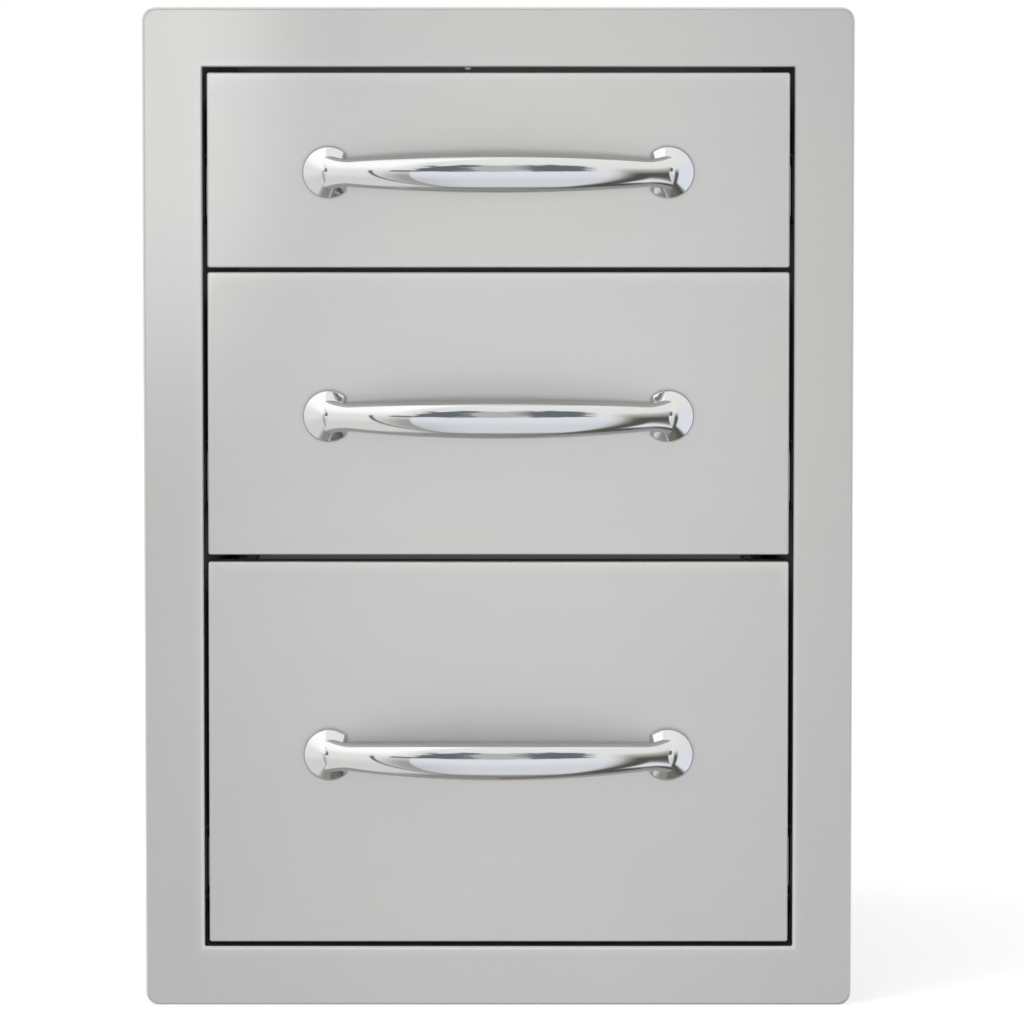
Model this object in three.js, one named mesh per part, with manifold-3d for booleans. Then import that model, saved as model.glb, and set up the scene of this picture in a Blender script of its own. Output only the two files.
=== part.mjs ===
// An outdoor kitchen drawer unit: three stainless steel drawers in a flush face frame, in front of a sheet
// casing that slides into a cut-out in a masonry island. Every drawer runs on a pair of full extension ball
// slides and has a bowed, chromed pull.
// Units are millimetres. +X is right seen from the front, +Y runs into the wall and +Z is up. The origin is
// the middle of the lower bearing lip, on the plane where the frame's lips meet the wall.

import * as THREE from "three";
import { mergeVertices } from "three/addons/utils/BufferGeometryUtils.js";
import Module from "manifold-3d";

const wasm = await Module();
wasm.setup();

// Fits and drawing
const SEAM_GAP = 0.3; // between two pieces that are seated on each other
const CUT_OVERRUN = 2; // how far a cutting tool runs past what it cuts
const BEND_STEPS = 3; // facets in a sheet's bend
const CORNER_STEPS = 4; // facets in a rounded corner
const SMALL_CORNER_STEPS = 2; // the same in a small or hidden one
const ROUND_SIDES = 8; // facets round a screw, a pin or a hole
const TIGHT_CORNER_RADIUS = 0.8; // the least radius of a pressed corner
const PLATE_MARGIN = 4; // flat drawn between a pan's bend and its plate

// Face frame
const FRAME_WIDTH = 431.8;
const FRAME_HEIGHT = 609.6;
const FRAME_STANDOFF = 10; // from the wall to the front face
const FRAME_SHEET = 1.2;
const FRAME_CORNER_RADIUS = 8.5;
const FRAME_EDGE_BEND = 3; // outside radius of the bend at the outer edge
const TRIM_WIDTH = 36.5; // from the outer edge to the opening
const LIP_WIDTH = 14; // the bearing lip that lies on the wall
const LIP_BEND = 1.8;
const OPENING_EDGE_BEND = 2.2;
const JAMB_DEPTH = 25; // from the front face to the rear end of the jamb

// Casing
const CASING_SHEET = 1;
const REAR_ROOM = 24.7; // from the slides' rear ends to the casing's rear flanges
const CASING_FLANGE = 16;
const CASING_BEND = 1.4; // outside radius of its folds
const FIXING_HOLE_RADIUS = 2.75; // holes for the screws into the island's framing
const FIXING_HOLE_SETBACK = 45; // from the front or the back of a side to its nearest holes
const FIXING_HOLE_SPREAD = 240; // from the lower holes to the upper ones

// Drawer fronts, with the reveals round them
const SIDE_REVEAL = 2.5;
const TOP_REVEAL = 3;
const UPPER_REVEAL = 2.5; // between the top and the middle front
const LOWER_REVEAL = 3.9; // between the middle and the bottom front
const BOTTOM_REVEAL = 2.5;
const TOP_FRONT_HEIGHT = 118.5;
const MIDDLE_FRONT_HEIGHT = 172.5;
const FRONT_THICKNESS = 18;
const FRONT_SHEET = 1;
const FRONT_EDGE_BEND = 1.8;
const FRONT_CORNER_RADIUS = 1.6;
const LINER_SHEET = 0.8;
const LINER_FLANGE = 12;
const LINER_BEND = 1.6;

// Drawer boxes
const BOX_SHEET = 0.9;
const BOX_SETBACK = 2.7; // from the slides' rear ends to the box's back
const BOX_FLOOR_RISE = 14; // from a front's lower edge to its box's underside
const BOX_RIM_DROP = 22; // from a front's upper edge to its box's rim
const BOX_CORNER_RADIUS = 4;
const BOX_FLOOR_BEND = 3;
const BOX_HEM_RADIUS = 1.1; // of the centre line of the rim's safe edge, which is rolled inwards
const BOX_HEM_DROP = 8; // from the rim down to the end of its hem

// Ball slides: the cabinet member holds the intermediate member, and that holds the drawer member
const SLIDE_LENGTH = 457;
const SLIDE_SETBACK = 1; // from the jamb's rear end to the slide's front end
const SLIDE_RISE = 32; // from a box's underside to the middle of its slides
const SLIDE_WIDTH = 12.7; // from the casing wall to the drawer wall
const SLIDE_HEIGHT = 45.4;
const SLIDE_SHEET = 1.2;
const SLIDE_BEND = 2.8; // centre-line radius of the cabinet member's corner
const SLIDE_WEB_BEND = 1.3; // centre-line radius at the webs of the two moving members
const BALL_DIAMETER = 4.76;
const RACE_CLEARANCE = 0.22; // between a ball and the races above and below it
const OUTER_RACE_INSET = 4.3; // from the casing side of the slide to the outer balls
const INNER_RACE_INSET = 8.4; // and to the inner balls
const DRAWER_MEMBER_SETBACK = 3; // from a front's back to the drawer member
const SLIDE_HOLE_RADIUS = 2.4;
const SLIDE_HOLE_MARGIN = 35; // from a member's end to its nearest screw hole

// Ball retainers
const RETAINER_SHEET = 0.5;
const RETAINER_GAP = 0.3; // between a retainer's web and the web next to it
const RETAINER_LENGTH = 226;
const RETAINER_SETBACK = 114; // from the slide's front end to the retainer's
const OUTER_RETAINER_REACH = 6.5; // from the casing side of the slide to the outer retainer's edge
const INNER_RETAINER_REACH = 10.7; // and to the inner retainer's edge
const BALLS_PER_ROW = 2;
const BALL_MARGIN = 8; // from a retainer's end to its first ball
const BALL_SIDES = 6;
const BALL_RINGS = 4;

// Release levers, each on a pin in its drawer member
const LEVER_PIN_RADIUS = 1.8;
const LEVER_PIN_CLEARANCE = 0.4;
const LEVER_PIN_SETBACK = 190; // from the drawer member's front end
const LEVER_PIN_LENGTH = 4;
const LEVER_LENGTH = 52; // from the pin to the middle of the thumb pad
const LEVER_THICKNESS = 3;
const LEVER_BOSS_RADIUS = 4.6;
const LEVER_ARM_HEIGHT = 4.4;
const LEVER_PAD_RADIUS = 3.9;
const LEVER_END_STEPS = 6; // facets round its boss and round its pad

// Handles: a grip bowed between two domed feet that are cut flat on the side of the grip
const HANDLE_CENTRES = 206; // from the middle of one foot to the other
const HANDLE_DROP = 1.2; // from the middle of a front down to its handle
const HANDLE_REACH = 40; // from the front face to the grip's centre line, halfway along it
const GRIP_END_REACH = 7; // the same at the middle of a foot
const GRIP_HEIGHT = 20.5;
const GRIP_DEPTH = 15;
const GRIP_END_HEIGHT = 14;
const GRIP_END_DEPTH = 11.5;
const GRIP_STATIONS = 12;
const GRIP_SIDES = 10;
const FOOT_RADIUS = 15.9;
const FOOT_RISE = 14; // from the front face to the top of the dome
const FOOT_EDGE = 2.4; // height of the straight edge round the foot
const FOOT_CUT = 10.9; // from the middle of the foot to the base of its flat side
const FOOT_CUT_DEGREES = 18; // how far the flat side leans back
const FOOT_SIDES = 16;

// Handle screws
const SCREW_RADIUS = 2;
const SCREW_HOLE_CLEARANCE = 0.15;
const SCREW_HEAD_RADIUS = 4;
const SCREW_HEAD_HEIGHT = 3.1;
const SCREW_HEAD_EDGE = 1.1; // height of the straight edge under the head's dome
const SCREW_ENGAGEMENT = 8; // how far it runs into the foot
const SCREW_HOLE_SPARE = 1.2; // how much deeper the foot's hole is

// Places that follow from the sizes
const frameBottom = -LIP_WIDTH / 2;
const openingWidth = FRAME_WIDTH - 2 * TRIM_WIDTH;
const openingHeight = FRAME_HEIGHT - 2 * TRIM_WIDTH;
const openingBottom = frameBottom + TRIM_WIDTH;
const openingMiddle = openingBottom + openingHeight / 2;
const frontFace = -FRAME_STANDOFF;
const frontBack = frontFace + FRONT_THICKNESS;
const jambEnd = frontFace + JAMB_DEPTH;
const frontWidth = openingWidth - 2 * SIDE_REVEAL;
const casingInnerHalf = openingWidth / 2 + FRAME_SHEET + SEAM_GAP;
const casingInnerHeight = openingHeight + 2 * (FRAME_SHEET + SEAM_GAP);
const casingFront = frontFace + OPENING_EDGE_BEND;
const slideOuterFace = casingInnerHalf - SEAM_GAP;
const slideFront = jambEnd + SLIDE_SETBACK;
const slideBack = slideFront + SLIDE_LENGTH;
const drawerMemberFront = frontBack + DRAWER_MEMBER_SETBACK;
const casingRear = slideBack + REAR_ROOM + CASING_SHEET;
const boxHalfWidth = slideOuterFace - SLIDE_WIDTH - SEAM_GAP;
const boxFront = frontBack + SEAM_GAP;
const boxDepth = slideBack - BOX_SETBACK - boxFront;
const bottomFrontHeight =
  openingHeight - TOP_REVEAL - TOP_FRONT_HEIGHT - UPPER_REVEAL - MIDDLE_FRONT_HEIGHT - LOWER_REVEAL - BOTTOM_REVEAL;
const screwHoleRadius = SCREW_RADIUS + SCREW_HOLE_CLEARANCE;

// Finishes
const brushedSteel = new THREE.MeshStandardMaterial({ color: 0xc9c8c6, roughness: 0.38, metalness: 0.9 });
const plainSteel = new THREE.MeshStandardMaterial({ color: 0xb4b5b4, roughness: 0.45, metalness: 0.9 });
const chrome = new THREE.MeshStandardMaterial({ color: 0xe6e8ea, roughness: 0.08, metalness: 1 });
const zincPlate = new THREE.MeshStandardMaterial({ color: 0xa9adb2, roughness: 0.32, metalness: 1 });
const blackNylon = new THREE.MeshStandardMaterial({ color: 0x1b1c1d, roughness: 0.55, metalness: 0 });

// Solids

// A closed geometry as a solid.
function solidOf(geometry) {
  const bare = geometry.clone();
  bare.deleteAttribute("normal");
  bare.deleteAttribute("uv");
  const merged = mergeVertices(bare);
  return new wasm.Manifold(
    new wasm.Mesh({
      numProp: 3,
      vertProperties: new Float32Array(merged.attributes.position.array),
      triVerts: new Uint32Array(merged.index.array),
    })
  );
}

// A solid as a geometry with flat faces.
function geometryOf(solid) {
  const { numProp, vertProperties, triVerts } = solid.getMesh();
  const corners = new Float32Array(triVerts.length * 3);
  triVerts.forEach((vertex, corner) => {
    const at = vertex * numProp;
    corners.set(vertProperties.subarray(at, at + 3), corner * 3);
  });
  const geometry = new THREE.BufferGeometry();
  geometry.setAttribute("position", new THREE.BufferAttribute(corners, 3));
  geometry.computeVertexNormals();
  return geometry;
}

// A geometry less one or more tools.
function cut(geometry, ...tools) {
  return geometryOf(tools.reduce((left, tool) => left.subtract(solidOf(tool)), solidOf(geometry)));
}

// Several geometries that overlap, as one.
function join(...geometries) {
  return geometryOf(geometries.map(solidOf).reduce((whole, piece) => whole.add(piece)));
}

// A cylinder along Y that starts at y and runs to y + length.
function rodAlongY(radius, length, x, y, z) {
  return new THREE.CylinderGeometry(radius, radius, length, ROUND_SIDES).translate(x, y + length / 2, z);
}

// A cylinder along X that starts at x and runs to x + length.
function rodAlongX(radius, length, x, y, z) {
  return new THREE.CylinderGeometry(radius, radius, length, ROUND_SIDES)
    .rotateZ(Math.PI / 2)
    .translate(x + length / 2, y, z);
}

// Sheet metal

// The points of a path of [a, b, radius] corners, with each corner that has a radius rounded.
function roundedPath(corners, steps = BEND_STEPS) {
  return corners.flatMap(([a, b, radius = 0], i) => {
    const corner = new THREE.Vector2(a, b);
    if (!radius) return [corner];
    const back = new THREE.Vector2(corners[i - 1][0], corners[i - 1][1]).sub(corner).normalize();
    const on = new THREE.Vector2(corners[i + 1][0], corners[i + 1][1]).sub(corner).normalize();
    const half = Math.acos(back.dot(on)) / 2;
    const middle = back.clone().add(on).normalize().multiplyScalar(radius / Math.sin(half)).add(corner);
    const start = back.clone().multiplyScalar(radius / Math.tan(half)).add(corner);
    const turn = (Math.PI - 2 * half) * Math.sign(on.cross(back));
    return Array.from({ length: steps + 1 }, (_, step) => start.clone().rotateAround(middle, (turn * step) / steps));
  });
}

// Points on an arc about (a, b), from one angle in degrees to another.
function arcPoints(a, b, radius, fromDegrees, toDegrees, steps) {
  return Array.from({ length: steps + 1 }, (_, step) => {
    const angle = THREE.MathUtils.degToRad(THREE.MathUtils.lerp(fromDegrees, toDegrees, step / steps));
    return new THREE.Vector2(a + radius * Math.cos(angle), b + radius * Math.sin(angle));
  });
}

// The outline of a sheet folded along a path: out along one face and back along the other.
function sheetOutline(path, thickness) {
  const face = (side) =>
    path.map((point, i) => {
      const into = point.clone().sub(path[Math.max(i - 1, 0)]).normalize();
      const out = path[Math.min(i + 1, path.length - 1)].clone().sub(point).normalize();
      const first = i ? into : out;
      const last = i < path.length - 1 ? out : into;
      const across = new THREE.Vector2(-first.y, first.x);
      const mitre = new THREE.Vector2(-last.y, last.x).add(across).normalize();
      return mitre.multiplyScalar((side * thickness) / 2 / mitre.dot(across)).add(point);
    });
  return [...face(1), ...face(-1).reverse()];
}

// A rounded rectangle's corner points, anticlockwise.
function rectanglePoints(width, height, radius, steps) {
  return [0, 1, 2, 3].flatMap((quarter) => {
    const right = quarter === 0 || quarter === 3 ? 1 : -1;
    const top = quarter < 2 ? 1 : -1;
    const a = right * (width / 2 - radius);
    const b = top * (height / 2 - radius);
    return arcPoints(a, b, radius, quarter * 90, quarter * 90 + 90, steps);
  });
}

// A solid through rings of equally many points. It closes on its first ring, or is capped at both ends.
function ringSolid(rings, closed) {
  const count = rings[0].length;
  const points = rings.flat();
  const triangles = [];
  rings.forEach((_, i) => {
    if (!closed && i === rings.length - 1) return;
    const here = i * count;
    const next = ((i + 1) % rings.length) * count;
    for (let j = 0; j < count; j += 1) {
      const k = (j + 1) % count;
      triangles.push(here + j, here + k, next + k, here + j, next + k, next + j);
    }
  });
  if (!closed) {
    [0, rings.length - 1].forEach((i) => {
      const middle = rings[i].reduce((sum, point) => sum.add(point), new THREE.Vector3()).divideScalar(count);
      points.push(middle);
      for (let j = 0; j < count; j += 1) {
        const edge = [i * count + j, i * count + ((j + 1) % count)];
        triangles.push(points.length - 1, ...(i ? edge : edge.reverse()));
      }
    });
  }
  const geometry = new THREE.BufferGeometry().setFromPoints(points).setIndex(triangles);
  if (solidOf(geometry).volume() > 0) return geometry;
  return geometry.setIndex(triangles.reverse());
}

// Sheet pressed or folded round a rounded rectangle that lies in the XY plane. Each point of the section is
// an inset from the rectangle's edge and a height. A closed section leaves the middle open, as in a frame.
// Otherwise the section's two ends are closed by flat plates, as in a pan or a tray.
function pressedSheet(section, width, height, cornerRadius, steps, closed) {
  const rings = section.map(({ x: inset, y: level }) => {
    const radius = Math.max(cornerRadius - inset, TIGHT_CORNER_RADIUS);
    return rectanglePoints(width - 2 * inset, height - 2 * inset, radius, steps).map(
      (point) => new THREE.Vector3(point.x, point.y, level)
    );
  });
  return ringSolid(rings, closed);
}

// Turns what was drawn lying on its back upright, so that its top faces the viewer.
function stand(geometry) {
  return geometry.rotateX(Math.PI / 2);
}

// An outline in X and Z that runs from y = 0 to y = length.
function extrudeBack(outline, length) {
  const extrusion = new THREE.ExtrudeGeometry(new THREE.Shape(outline), { depth: length, bevelEnabled: false });
  return stand(extrusion).translate(0, length, 0);
}

// An outline in X and Y that runs from z = 0 to z = length.
function extrudeUp(outline, length) {
  return new THREE.ExtrudeGeometry(new THREE.Shape(outline), { depth: length, bevelEnabled: false });
}

function part(name, geometry, material, x = 0, y = 0, z = 0) {
  const mesh = new THREE.Mesh(geometry, material);
  mesh.name = name;
  mesh.position.set(x, y, z);
  return mesh;
}

// Face frame: one pressing whose outer edge returns to the wall and ends in a bearing lip, and whose inner
// edge returns into the opening as a jamb.
function faceFrame() {
  const half = FRAME_SHEET / 2;
  const section = sheetOutline(
    roundedPath([
      [LIP_WIDTH, half],
      [half, half, LIP_BEND - half],
      [half, FRAME_STANDOFF - half, FRAME_EDGE_BEND - half],
      [TRIM_WIDTH - half, FRAME_STANDOFF - half, OPENING_EDGE_BEND - half],
      [TRIM_WIDTH - half, FRAME_STANDOFF - JAMB_DEPTH],
    ]),
    FRAME_SHEET
  );
  const pressing = pressedSheet(section, FRAME_WIDTH, FRAME_HEIGHT, FRAME_CORNER_RADIUS, CORNER_STEPS, true);
  return part("face_frame", stand(pressing), brushedSteel, 0, 0, openingMiddle);
}

// Casing side: a flat wall with a flange folded in at the back, and holes for the island's fixing screws.
function casingSide(name, side) {
  const half = CASING_SHEET / 2;
  const wall = casingInnerHalf + half;
  const back = casingRear - half;
  const height = casingInnerHeight + 2 * CASING_SHEET;
  const outline = sheetOutline(
    roundedPath([
      [wall, casingFront],
      [wall, back, CASING_BEND - half],
      [wall - CASING_FLANGE, back],
    ]),
    CASING_SHEET
  );
  const sheet = extrudeUp(outline, height).translate(0, 0, -height / 2);
  const start = casingInnerHalf - CUT_OVERRUN;
  const drills = [casingFront + FIXING_HOLE_SETBACK, back - FIXING_HOLE_SETBACK].flatMap((y) =>
    [-FIXING_HOLE_SPREAD / 2, FIXING_HOLE_SPREAD / 2].map((z) =>
      rodAlongX(FIXING_HOLE_RADIUS, CASING_SHEET + 2 * CUT_OVERRUN, start, y, z)
    )
  );
  const mesh = part(name, cut(sheet, ...drills), plainSteel, 0, 0, openingMiddle);
  if (side < 0) mesh.geometry.rotateZ(Math.PI).rotateX(Math.PI);
  return mesh;
}

// Casing top or floor: a sheet between the sides, with flanges folded down against their insides. The
// flanges stop behind the frame's jamb, which the sheet itself passes.
function casingCover(name, upward) {
  const half = CASING_SHEET / 2;
  const edge = casingInnerHalf - SEAM_GAP - half;
  const underside = casingInnerHeight / 2;
  const level = underside + half;
  const outline = sheetOutline(
    roundedPath([
      [-edge, level - CASING_FLANGE],
      [-edge, level, CASING_BEND - half],
      [edge, level, CASING_BEND - half],
      [edge, level - CASING_FLANGE],
    ]),
    CASING_SHEET
  );
  const length = casingRear - CASING_SHEET - SEAM_GAP - casingFront;
  const notch = new THREE.BoxGeometry(
    2 * casingInnerHalf,
    2 * (jambEnd + SEAM_GAP - casingFront),
    2 * CASING_FLANGE
  ).translate(0, 0, underside - CASING_FLANGE);
  const cover = cut(extrudeBack(outline, length), notch);
  const mesh = part(name, cover, plainSteel, 0, casingFront, openingMiddle);
  if (!upward) mesh.rotation.y = Math.PI;
  return mesh;
}

// Casing back: a flat plate against the flanges of the sides.
function casingBack() {
  const width = 2 * (casingInnerHalf + CASING_SHEET);
  const height = casingInnerHeight + 2 * CASING_SHEET;
  const corners = rectanglePoints(width, height, CASING_BEND, SMALL_CORNER_STEPS);
  const plate = extrudeBack(corners, CASING_SHEET);
  return part("casing_back", plate, plainSteel, 0, casingRear + SEAM_GAP, openingMiddle);
}

// Front panel: the outer skin, a shallow pan whose edges return to the back of the front.
function frontPanel(name, height, screws) {
  const half = FRONT_SHEET / 2;
  const face = FRAME_STANDOFF - half;
  const section = sheetOutline(
    roundedPath([
      [FRONT_EDGE_BEND + PLATE_MARGIN, face],
      [half, face, FRONT_EDGE_BEND - half],
      [half, -frontBack],
    ]),
    FRONT_SHEET
  );
  const pan = pressedSheet(section, frontWidth, height, FRONT_CORNER_RADIUS, SMALL_CORNER_STEPS, false);
  const drills = screws.map((x) =>
    rodAlongY(screwHoleRadius, FRONT_SHEET + 2 * CUT_OVERRUN, x, frontFace - CUT_OVERRUN, -HANDLE_DROP)
  );
  return part(name, cut(stand(pan), ...drills), brushedSteel);
}

// Front liner: a pan that closes the back of the front, nested inside the front panel's returns.
function frontLiner(name, height, screws) {
  const half = LINER_SHEET / 2;
  const back = half - frontBack;
  const margin = 2 * (FRONT_SHEET + SEAM_GAP);
  const path = roundedPath(
    [
      [LINER_BEND + PLATE_MARGIN, back],
      [half, back, LINER_BEND - half],
      [half, back + LINER_FLANGE],
    ],
    SMALL_CORNER_STEPS
  );
  const size = [frontWidth - margin, height - margin];
  const section = sheetOutline(path, LINER_SHEET);
  const pan = pressedSheet(section, ...size, FRONT_CORNER_RADIUS, SMALL_CORNER_STEPS, false);
  const drills = screws.map((x) =>
    rodAlongY(
      screwHoleRadius,
      LINER_SHEET + 2 * CUT_OVERRUN,
      x,
      frontBack - LINER_SHEET - CUT_OVERRUN,
      -HANDLE_DROP
    )
  );
  return part(name, cut(stand(pan), ...drills), plainSteel);
}

// Drawer box: a welded tray whose rim is hemmed inwards all round.
function drawerBox(name, height, screws, screwLevel) {
  const half = BOX_SHEET / 2;
  const hemMiddle = half + BOX_HEM_RADIUS;
  const floor = roundedPath(
    [
      [BOX_FLOOR_BEND + PLATE_MARGIN, half],
      [half, half, BOX_FLOOR_BEND - half],
      [half, height - hemMiddle],
    ],
    SMALL_CORNER_STEPS
  );
  const hem = arcPoints(hemMiddle, height - hemMiddle, BOX_HEM_RADIUS, 180, 0, BEND_STEPS).slice(1);
  const hemEnd = new THREE.Vector2(hemMiddle + BOX_HEM_RADIUS, height - BOX_HEM_DROP);
  const section = sheetOutline([...floor, ...hem, hemEnd], BOX_SHEET);
  const tray = pressedSheet(section, 2 * boxHalfWidth, boxDepth, BOX_CORNER_RADIUS, SMALL_CORNER_STEPS, false);
  const drills = screws.map((x) =>
    rodAlongY(screwHoleRadius, BOX_SHEET + 2 * CUT_OVERRUN, x, -boxDepth / 2 - CUT_OVERRUN, screwLevel)
  );
  return part(name, cut(tray, ...drills), plainSteel, 0, boxFront + boxDepth / 2, 0);
}

// Handle: the grip follows a circular arc through the feet and swells towards its middle.
function handle(name, level) {
  const halfSpan = HANDLE_CENTRES / 2;
  const rise = HANDLE_REACH - GRIP_END_REACH;
  const arcRadius = (halfSpan ** 2 + rise ** 2) / (2 * rise);
  const endAngle = Math.asin(halfSpan / arcRadius);
  const rings = Array.from({ length: GRIP_STATIONS + 1 }, (_, station) => {
    const share = (2 * station) / GRIP_STATIONS - 1;
    const angle = endAngle * share;
    const swell = Math.cos((share * Math.PI) / 2) ** 2;
    const halfHeight = THREE.MathUtils.lerp(GRIP_END_HEIGHT, GRIP_HEIGHT, swell) / 2;
    const halfDepth = THREE.MathUtils.lerp(GRIP_END_DEPTH, GRIP_DEPTH, swell) / 2;
    return Array.from({ length: GRIP_SIDES }, (_side, side) => {
      const around = (2 * Math.PI * side) / GRIP_SIDES;
      const radius = arcRadius + halfDepth * Math.cos(around);
      const x = radius * Math.sin(angle);
      const out = radius * Math.cos(angle) - arcRadius + HANDLE_REACH;
      return new THREE.Vector3(x, -out, halfHeight * Math.sin(around));
    });
  });
  const lean = THREE.MathUtils.degToRad(FOOT_CUT_DEGREES);
  const toolHeight = 2 * (FOOT_RISE + CUT_OVERRUN);
  const toolWidth = 2 * (FOOT_RADIUS + CUT_OVERRUN);
  const feet = [-1, 1].map((side) => {
    const dome = new THREE.LatheGeometry(footProfile(), FOOT_SIDES).rotateX(Math.PI).translate(side * halfSpan, 0, 0);
    const tool = new THREE.BoxGeometry(FOOT_RADIUS, toolHeight, toolWidth)
      .translate((-side * FOOT_RADIUS) / 2, 0, 0)
      .rotateZ(side * lean)
      .translate(side * (halfSpan - FOOT_CUT), 0, 0);
    return cut(dome, tool);
  });
  const bores = [-1, 1].map((side) =>
    rodAlongY(
      screwHoleRadius,
      SCREW_ENGAGEMENT + SCREW_HOLE_SPARE + CUT_OVERRUN,
      side * halfSpan,
      -SCREW_ENGAGEMENT - SCREW_HOLE_SPARE,
      0
    )
  );
  const casting = cut(join(ringSolid(rings, false), ...feet), ...bores);
  return part(name, casting, chrome, 0, frontFace - SEAM_GAP, level);
}

// A foot's profile from its base to the top of its dome: a straight edge, then a quarter of an ellipse.
function footProfile() {
  const dome = arcPoints(0, 0, 1, 0, 90, CORNER_STEPS).map(
    (point) => new THREE.Vector2(point.x * FOOT_RADIUS, FOOT_EDGE + point.y * (FOOT_RISE - FOOT_EDGE))
  );
  dome[dome.length - 1].x = 0;
  return [new THREE.Vector2(0, 0), new THREE.Vector2(FOOT_RADIUS, 0), ...dome];
}

// Handle screw: a pan head inside the drawer, with a shank through the box, the liner and the front panel.
function handleScrew(name, x, level) {
  const seat = boxFront + BOX_SHEET + SEAM_GAP;
  const tip = frontFace - SEAM_GAP - SCREW_ENGAGEMENT;
  const length = seat - tip;
  const crown = arcPoints(0, 0, 1, 0, 90, SMALL_CORNER_STEPS).map(
    (point) =>
      new THREE.Vector2(
        point.x * SCREW_HEAD_RADIUS,
        length + SCREW_HEAD_EDGE + point.y * (SCREW_HEAD_HEIGHT - SCREW_HEAD_EDGE)
      )
  );
  crown[crown.length - 1].x = 0;
  const profile = [
    new THREE.Vector2(0, 0),
    new THREE.Vector2(SCREW_RADIUS, 0),
    new THREE.Vector2(SCREW_RADIUS, length),
    new THREE.Vector2(SCREW_HEAD_RADIUS, length),
    ...crown,
  ];
  return part(name, new THREE.LatheGeometry(profile, ROUND_SIDES), zincPlate, x, tip, level);
}

// Slides. Each section is drawn for the right-hand side, about the middle of the slide: reach is measured
// from the casing side towards the drawer.
const raceRadius = BALL_DIAMETER / 2 + RACE_CLEARANCE + SLIDE_SHEET / 2;
const slideHalfSheet = SLIDE_SHEET / 2;
const outerBallLevel = SLIDE_HEIGHT / 2 - slideHalfSheet - raceRadius;
const ballRowsApart = INNER_RACE_INSET - OUTER_RACE_INSET;
const innerBallLevel = outerBallLevel - Math.sqrt((2 * raceRadius) ** 2 - ballRowsApart ** 2);
const intermediateWeb = SLIDE_SHEET + RETAINER_GAP + RETAINER_SHEET + RETAINER_GAP + slideHalfSheet;
const drawerWeb = SLIDE_WIDTH - slideHalfSheet;
const RACE_END_DEGREES = 5; // how far the cabinet member's lips wrap past the balls' level
const HOOK_END_DEGREES = 50; // where the intermediate member's hook ends
const TROUGH_END_DEGREES = -165; // where the drawer member's trough ends

// A member of a slide as a solid. The upper half of its section starts in the middle of the web and is
// mirrored downwards. Reach turns into X, and the length runs along Y.
function slideMember(upperHalf, sheet, length) {
  const upper = upperHalf.map((point) => new THREE.Vector2(slideOuterFace - point.x, point.y));
  const lower = upper.slice(1).map((point) => new THREE.Vector2(point.x, -point.y));
  return extrudeBack(sheetOutline([...lower.reverse(), ...upper], sheet), length);
}

// Screw holes through a member's web.
function webHoles(web, length) {
  return [SLIDE_HOLE_MARGIN, length - SLIDE_HOLE_MARGIN].map((y) =>
    rodAlongX(
      SLIDE_HOLE_RADIUS,
      SLIDE_SHEET + 2 * CUT_OVERRUN,
      slideOuterFace - web - slideHalfSheet - CUT_OVERRUN,
      y,
      0
    )
  );
}

// Cabinet member: its corners and lips wrap over the outer balls.
function cabinetMember(name) {
  const crown = SLIDE_HEIGHT / 2 - slideHalfSheet;
  const corner = roundedPath(
    [
      [slideHalfSheet, 0],
      [slideHalfSheet, crown, SLIDE_BEND],
      [OUTER_RACE_INSET, crown],
    ],
    SMALL_CORNER_STEPS
  );
  const lip = arcPoints(OUTER_RACE_INSET, outerBallLevel, raceRadius, 90, -RACE_END_DEGREES, BEND_STEPS).slice(1);
  const member = slideMember([...corner, ...lip], SLIDE_SHEET, SLIDE_LENGTH);
  return part(name, cut(member, ...webHoles(slideHalfSheet, SLIDE_LENGTH)), zincPlate, 0, slideFront, 0);
}

// Intermediate member: a trough under the outer balls runs on into a hook over the inner balls.
function intermediateMember(name) {
  const floor = outerBallLevel - raceRadius;
  const swing = THREE.MathUtils.radToDeg(Math.atan2(innerBallLevel - outerBallLevel, ballRowsApart));
  const corner = roundedPath(
    [
      [intermediateWeb, 0],
      [intermediateWeb, floor, SLIDE_WEB_BEND],
      [OUTER_RACE_INSET, floor],
    ],
    SMALL_CORNER_STEPS
  );
  const inner = [INNER_RACE_INSET, innerBallLevel, raceRadius];
  const trough = arcPoints(OUTER_RACE_INSET, outerBallLevel, raceRadius, -90, swing, SMALL_CORNER_STEPS).slice(1);
  const hook = arcPoints(...inner, 180 + swing, HOOK_END_DEGREES, BEND_STEPS).slice(1);
  return part(
    name,
    slideMember([...corner, ...trough, ...hook], SLIDE_SHEET, SLIDE_LENGTH),
    zincPlate,
    0,
    slideFront,
    0
  );
}

// Drawer member: its troughs hold the inner balls from inside, and its web carries the release lever's pin.
function drawerMember(name) {
  const floor = innerBallLevel - raceRadius;
  const corner = roundedPath(
    [
      [drawerWeb, 0],
      [drawerWeb, floor, SLIDE_WEB_BEND],
      [INNER_RACE_INSET, floor],
    ],
    SMALL_CORNER_STEPS
  );
  const inner = [INNER_RACE_INSET, innerBallLevel, raceRadius];
  const trough = arcPoints(...inner, -90, TROUGH_END_DEGREES, BEND_STEPS).slice(1);
  const member = slideMember([...corner, ...trough], SLIDE_SHEET, SLIDE_LENGTH);
  const pin = rodAlongX(
    LEVER_PIN_RADIUS,
    LEVER_PIN_LENGTH + slideHalfSheet,
    slideOuterFace - drawerWeb,
    LEVER_PIN_SETBACK,
    0
  );
  const drilled = cut(member, ...webHoles(drawerWeb, SLIDE_LENGTH));
  return part(name, join(drilled, pin), zincPlate, 0, drawerMemberFront, 0);
}

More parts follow.
